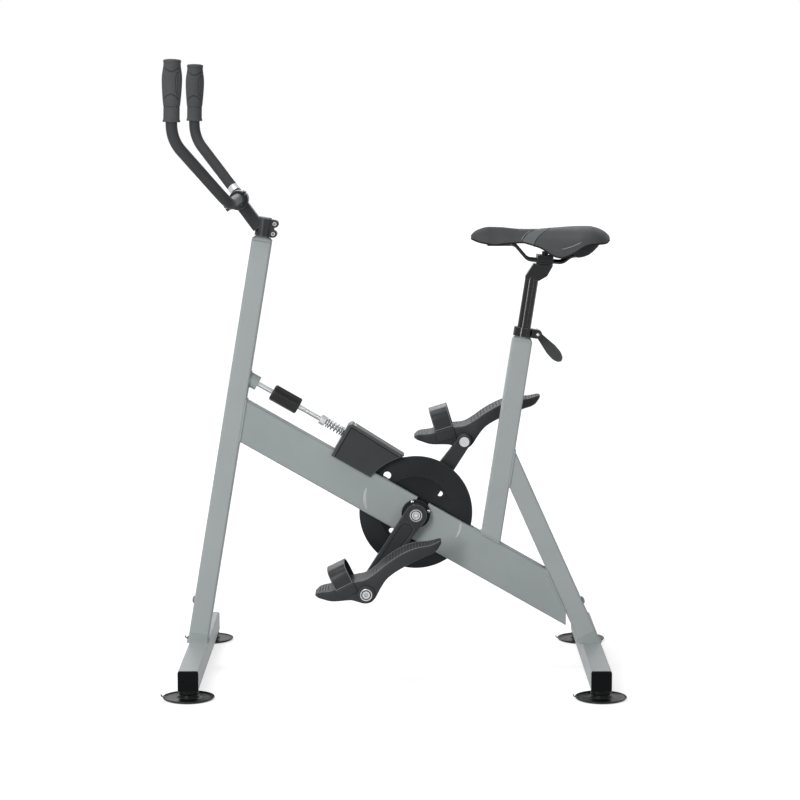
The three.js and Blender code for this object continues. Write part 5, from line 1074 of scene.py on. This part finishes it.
def swelled(rings, columns, voxel=5.0, pressure=18, steps=20, margin=1.5, cap=2.0, near=0.5):
    """The pad's cover blown up as cloth, as every point's move in millimetres.

    An evenly remeshed copy swells under pressure, and no point passes the cap. It is held where the underside
    is nearer than the top, or farther by less than the margin. A point of the pad moves as the four nearest
    points of the copy do, each of which counts by the inverse square of its distance plus the near value.
    """
    rough = shaped("pad_trial", surface(rings / 1000))
    remesh = rough.modifiers.new("even_faces", "REMESH")
    remesh.mode = "VOXEL"
    remesh.voxel_size = voxel / 1000
    mesh = bpy.data.meshes.new_from_object(rough.evaluated_get(bpy.context.evaluated_depsgraph_get()))
    bpy.data.objects.remove(rough)
    trial = bpy.data.objects.new("pad_trial", mesh)
    scene.collection.objects.link(trial)
    places = read(mesh.vertices, "co") * 1000
    top = rings[:, 2:columns - 2].reshape(-1, 3)
    underside = np.concatenate([rings[:, :2], rings[:, columns - 2:]], 1).reshape(-1, 3)
    to_top, to_underside = (np.linalg.norm(places[:, None] - part[None], axis=2).min(1)
                            for part in (top, underside))
    held = trial.vertex_groups.new(name="held")
    held.add(np.flatnonzero(to_underside < to_top + margin).tolist(), 1.0, "REPLACE")
    cloth = trial.modifiers.new("cover", "CLOTH")
    for name, value in (("mass", 0.2), ("use_pressure", True), ("uniform_pressure_force", pressure),
                        ("vertex_group_mass", "held")):
        setattr(cloth.settings, name, value)
    cloth.settings.effector_weights.gravity = 0
    cloth.collision_settings.use_collision = False
    for step in range(1, steps + 1):
        scene.frame_set(step)
    blown = trial.evaluated_get(bpy.context.evaluated_depsgraph_get()).to_mesh()
    move = read(blown.vertices, "co") * 1000 - places
    scene.frame_set(1)
    bpy.data.objects.remove(trial)
    move = move * np.minimum(1, cap / np.maximum(np.linalg.norm(move, axis=1, keepdims=True), 1e-9))
    apart = np.linalg.norm(rings.reshape(-1, 3)[:, None] - places[None], axis=2)
    nearest = np.argsort(apart, axis=1)[:, :4]
    weight = 1 / (np.take_along_axis(apart, nearest, 1) + near) ** 2
    return ((move[nearest] * weight[..., None]).sum(1) / weight.sum(1, keepdims=True)).reshape(rings.shape)


by_seam = np.array([-8, -5, -3, -1.5, 0, 1.5, 3, 5, 8]) * 1e-3  # rows set closer beside the band's two seams
rows = np.unique(np.round(np.r_[np.linspace(0, 1, 190), 0.003, 0.006, 0.994, 0.997, band_front + by_seam[:-1],
                                band_rear + by_seam[1:]], 6))
columns = 81
pad, t = saddle_pad(rows, columns)
coarse_rows, coarse_columns = np.linspace(0, 1, 64), 33
coarse, coarse_t = saddle_pad(coarse_rows, coarse_columns)
moved = swelled(coarse, coarse_columns)[:, :coarse_columns]
along = np.stack([[np.interp(rows, coarse_rows, moved[:, j, k]) for k in range(3)]
                  for j in range(coarse_columns)], 0)
fine = np.stack([[np.interp(t, coarse_t, along[:, k, i]) for k in range(3)] for i in range(len(rows))], 0)
pad[:, :columns] += np.moveaxis(fine, 1, 2)
seam_depth, seam_reach, puff_height, puff_reach = 1.1, 0.0028, 0.45, 0.035
seam = sum(np.exp(-((rows - line) / seam_reach) ** 2) for line in (band_front, band_rear))
puff = puff_height * np.exp(-((rows - (band_front + band_rear) / 2) / puff_reach) ** 2)
pad[:, :columns, 2] += (puff - seam_depth * seam)[:, None] * (1 - 0.4 * np.abs(t) ** 6)
cushion = shaped("saddle_cushion_cover", surface(stand(pad, saddle_frame)))
leather = finish("grey_black_synthetic_leather", (68, 70, 71), 0.5, (18, 0.1), (1500, 0.16), (0.2, None),
                 specular=0.16)
pale_leather = finish("pale_grey_synthetic_leather", (96, 100, 100), 0.5, (18, 0.07), (1500, 0.14),
                      (0.1, None), specular=0.16)
settle(cushion, leather, "saddle_cushion", 75)
x, y, _ = (read(cushion.data.polygons, "center") * 1000).T
own_share = (x - saddle_frame[0] + nose_length) / saddle_length
own_t = np.clip(np.abs(y) / (eased(saddle_plan, np.clip(own_share, 0, 1)) * saddle_half), 0, 1)
facing_up = read(cushion.data.polygons, "normal")[:, 2] > -0.2
second_finish(cushion, pale_leather, (own_share > band_front - swept(band_front, own_t))
              & (own_share < band_rear - swept(band_rear, own_t)) & facing_up)

piping = finish("black_piping", (22, 23, 25), 0.4, (40, 0.15), (900, 0.05))
piping_radius, stitch_radius, join_radius = 0.0016, 0.0006, 0.0008  # metres
rim_line = np.vstack([pad[3:-3, 0], pad[-4:2:-1, columns - 1]])
rim = carried(stand(rim_line, saddle_frame), piping_radius, 10, (0.02, 0.03, 1), closed=True)
add("saddle_piping", [rim], piping, "saddle_cushion", 70)
thread = finish("pale_sewing_thread", (150, 153, 153), 0.6, (60, 0.12), (2000, 0.05))


def row_at(share):
    """The pad's row nearest to a share of its length."""
    return int(np.argmin(np.abs(rows - share)))


stitch_start, stitch_end = 5, 28  # columns of the pad, from its edge
wing_front, wing_rear, wing_out = 0.697, 0.796, 0.954
stitch_row, stitch_lift, wing_lift = row_at(band_front - 0.011), [0, 0, 0.15], [0, 0, 0.1]
seams = [carried(stand(pad[stitch_row, part] + stitch_lift, saddle_frame), stitch_radius, 8)
         for part in (slice(stitch_start, stitch_end), slice(columns - stitch_end, columns - stitch_start))]
wing_rows = (rows > wing_front) & (rows < wing_rear)
wing_column = int(np.argmin(np.abs(t + wing_out)))
seams += [carried(stand(pad[wing_rows, column] + wing_lift, saddle_frame), stitch_radius, 8, (0, 0.1, 1))
          for column in (wing_column, columns - 1 - wing_column)]
add("saddle_stitch_lines", seams, thread, "saddle_cushion", 70)
sewn = [carried(stand(pad[row_at(line), 2:columns - 2], saddle_frame), join_radius, 8)
        for line in (band_front, band_rear)]
add("saddle_sewn_joins", sewn, piping, "saddle_cushion", 70)


# Stem: a cast alloy clamp in satin black that grips the steerer with two side bolts and holds the handlebar
# under a faceplate with four small bolts.
stem_paint = finish("satin_black_cast_alloy", (50, 52, 54), 0.3, (24, 0.12), (450, 0.06),
                    (0.6, (124, 127, 129)), specular=0.16, edge=0.002)
pinch_heights, ear_out, ear_round = (838.5, 858.5), 20.5, 7.6


def lobed_stem(node):
    """The stem with its clamp's ears trimmed to a round lobe about each bolt: the cutter's inner line stands
    off the bolts' line by the half chord of the nearer bolt's circle."""
    z = np.linspace(827, 870, 90)
    off = np.minimum(*(np.abs(z - height) for height in pinch_heights))
    x = ear_out + np.sqrt(np.maximum(ear_round ** 2 - off ** 2, 0))
    outline = np.vstack([np.stack([x, z], -1), [(36, 870), (36, 827)]])
    return carve(merged(node), [slab(outline, 16, post_frame)])


formed("stem", stem_paint, 0.0016, 50, lobed_stem)
formed("stem_faceplate", stem_paint, 0.0018)
pinch_outline = [(0, -24.3), (2.5, -24.3), (2.5, 0), (3.6, 0), (4.1, 0.5), (4.1, 4.0), (3.7, 4.5), (2.6, 4.5),
                 (2.4, 4.2), (2.2, 1.0), (0, 1.0)]
for node, height in zip(("lower_pinch_bolt", "upper_pinch_bolt"), pinch_heights):
    bolt = turned(pinch_outline, 40, stand([20, -12.3, height], post_frame), (0, -1, 0))
    settle(shaped(f"{node}_turned", bolt), steel, node, 40)
clamp_frame = (-309.5, 949.0, -126.5)
small_outline = [(0, 5), (3.4, 5), (3.6, 7.2), (3.6, 9.4), (3.2, 9.8), (2.2, 9.8), (2.0, 8.2), (0, 8.2)]
outward = leaned([1, 0, 0], clamp_frame)
small_bolts = [turned(small_outline, 24, stand([0, y, z], clamp_frame), outward, (0, 1, 0))
               for y in (-11, 11) for z in (24.8, -16.4)]
add("faceplate_bolts", small_bolts, steel, "upper_pinch_bolt", 40)


# Handlebar: one steel tube, bent twice on each side to upright grips and swaged thicker in the clamp, satin
# black, with a plain band of bright foil round its right arm.
grip_frame = (-417.0, 1103.0, 1.3)
horn_y, elbow, clamp_point = 264.5, (-315.0, 178.0, 944.5), (-309.5, 54.0, 949.0)
horn = stand([[0, horn_y, 111.7], [0, horn_y, -32.4]], grip_frame) * 1000
half_bar = np.vstack([horn, elbow, clamp_point])
bar_line = bent(np.vstack([half_bar, half_bar[::-1] * [1, -1, 1]]), [31, 34, 8, 8, 34, 31], 16)
bar_path, place = spaced(bar_line, 420)
tube_radius, swage_rise, swage_end, swage_length, foil_radius = 11.1, 1.6, 46, 14, 11.3
swage = np.clip((swage_end - np.abs(bar_path[:, 1])) / swage_length, 0, 1)
bar_radius = tube_radius + swage_rise * swage * swage * (3 - 2 * swage)
bar_paint = finish("satin_black_bar_paint", (67, 69, 70), 0.42, (18, 0.12), (450, 0.03),
                   (0.4, (110, 113, 116)), specular=0.04)
bar_piece = shaped("handlebar_tube", carried(bar_path / 1000, bar_radius / 1000, 40))
settle(bar_piece, bar_paint, "handlebar", 60)
from_elbow = place[np.argmin(np.linalg.norm(bar_path - np.array(elbow), axis=1))] - place
foil_start, foil_end = 12, 32
foil = bar_path[(from_elbow > foil_start) & (from_elbow < foil_end)]
foil_finish = finish("bright_foil", (200, 202, 203), 0.3, (50, 0.08), (900, 0.02), metallic=0.6)
foil_band = carried(foil / 1000, foil_radius / 1000, 40)
add("handlebar_foil_band", [foil_band], foil_finish, "handlebar", 50)


# Grips: soft grey-black rubber sleeves moulded thicker towards the top, closed at the end, with a moulded V,
# two long lines down each side of the back, an arch below the middle and a seam above the bottom lip.
# Its grooves darken more than other finishes do: painted shade in the moulded lines.
grip_rubber = finish("soft_grey_grip_rubber", (80, 82, 83), 0.66, (16, 0.08), (1300, 0.1), (0.3, None),
                     hollow=0.9)
grip_length, grip_radius, grip_bore = 116.0, 19.2, 11.2
grip_outline = [
    (0, .83), (.012, .86), (.03, .86), (.045, .81), (.12, .8), (.19, .8), (.353, .885), (.517, .963),
    (.677, 1), (.76, .98), (.837, .917), (.93, .85), (.955, .85), (.967, .88), (.985, .88), (1, .82)]
dome = np.array([(14.2, 0.5), (11.0, 1.2), (6.0, 1.7), (2.0, 1.8)])  # radius, and height over the sleeve


def groove(distance, width, depth):
    """A moulded line: a bell-shaped hollow of the given depth where the distance is nought."""
    return depth * np.exp(-(distance / width) ** 2)


def within(value, low, high, soft):
    """1 between two bounds and 0 outside, with straight slopes of the soft width just inside both."""
    return np.clip((value - low) / soft, 0, 1) * np.clip((high - value) / soft, 0, 1)


rise = np.unique(np.r_[np.linspace(0, 1, 170), 0.004, 0.01, 0.99, 0.996])
level = rise[:, None]
around = circle(150)
radius = eased(grip_outline, level) * grip_radius
facing = np.cos(around)[None]  # -1 on the grip's front line, 1 on its rear line
flank = within(np.abs(facing), -1, 0.93, 0.1)
bow_level, arch_level, seam_level, hump_level = 0.807, 0.447, 0.247, 0.625
top_bow = groove(level - bow_level - 0.063 * np.abs(facing / 0.85) ** 1.6, 0.011, 1.6) * flank
low_arch = groove(level - arch_level + 0.1 * np.abs(facing) ** 1.7, 0.011, 1.6) * flank
relief = np.maximum(np.maximum(top_bow, low_arch), groove(level - seam_level, 0.007, 0.9))
hump = np.sqrt(np.clip(1 - ((level - hump_level) / 0.2) ** 2, 0, 1))
rear_flank = within(level, 0.43, 0.82, 0.02) * within(facing, 0, 1.1, 0.1)
for deep in (0.43, 0.24):
    side_line = (np.abs(facing) - (0.92 - deep * hump)) * radius / 1.1
    relief = np.maximum(relief, groove(side_line, 1.2, 1.4) * rear_flank)
radius = np.vstack([np.full((1, 150), grip_bore), radius - relief, np.repeat(dome[:, :1], 150, 1)])
height = np.r_[0.0, rise * grip_length, grip_length + dome[:, 1]][:, None]
grip_points = points_of(radius * np.cos(around), radius * np.sin(around), height)
for hand, side in side_of.items():
    sleeve = stand(grip_points * [1, side, 1] + [0, side * horn_y, 0], grip_frame)
    settle(shaped(f"{hand}_grip_sleeve", surface(sleeve)), grip_rubber, f"{hand}_grip", 55)
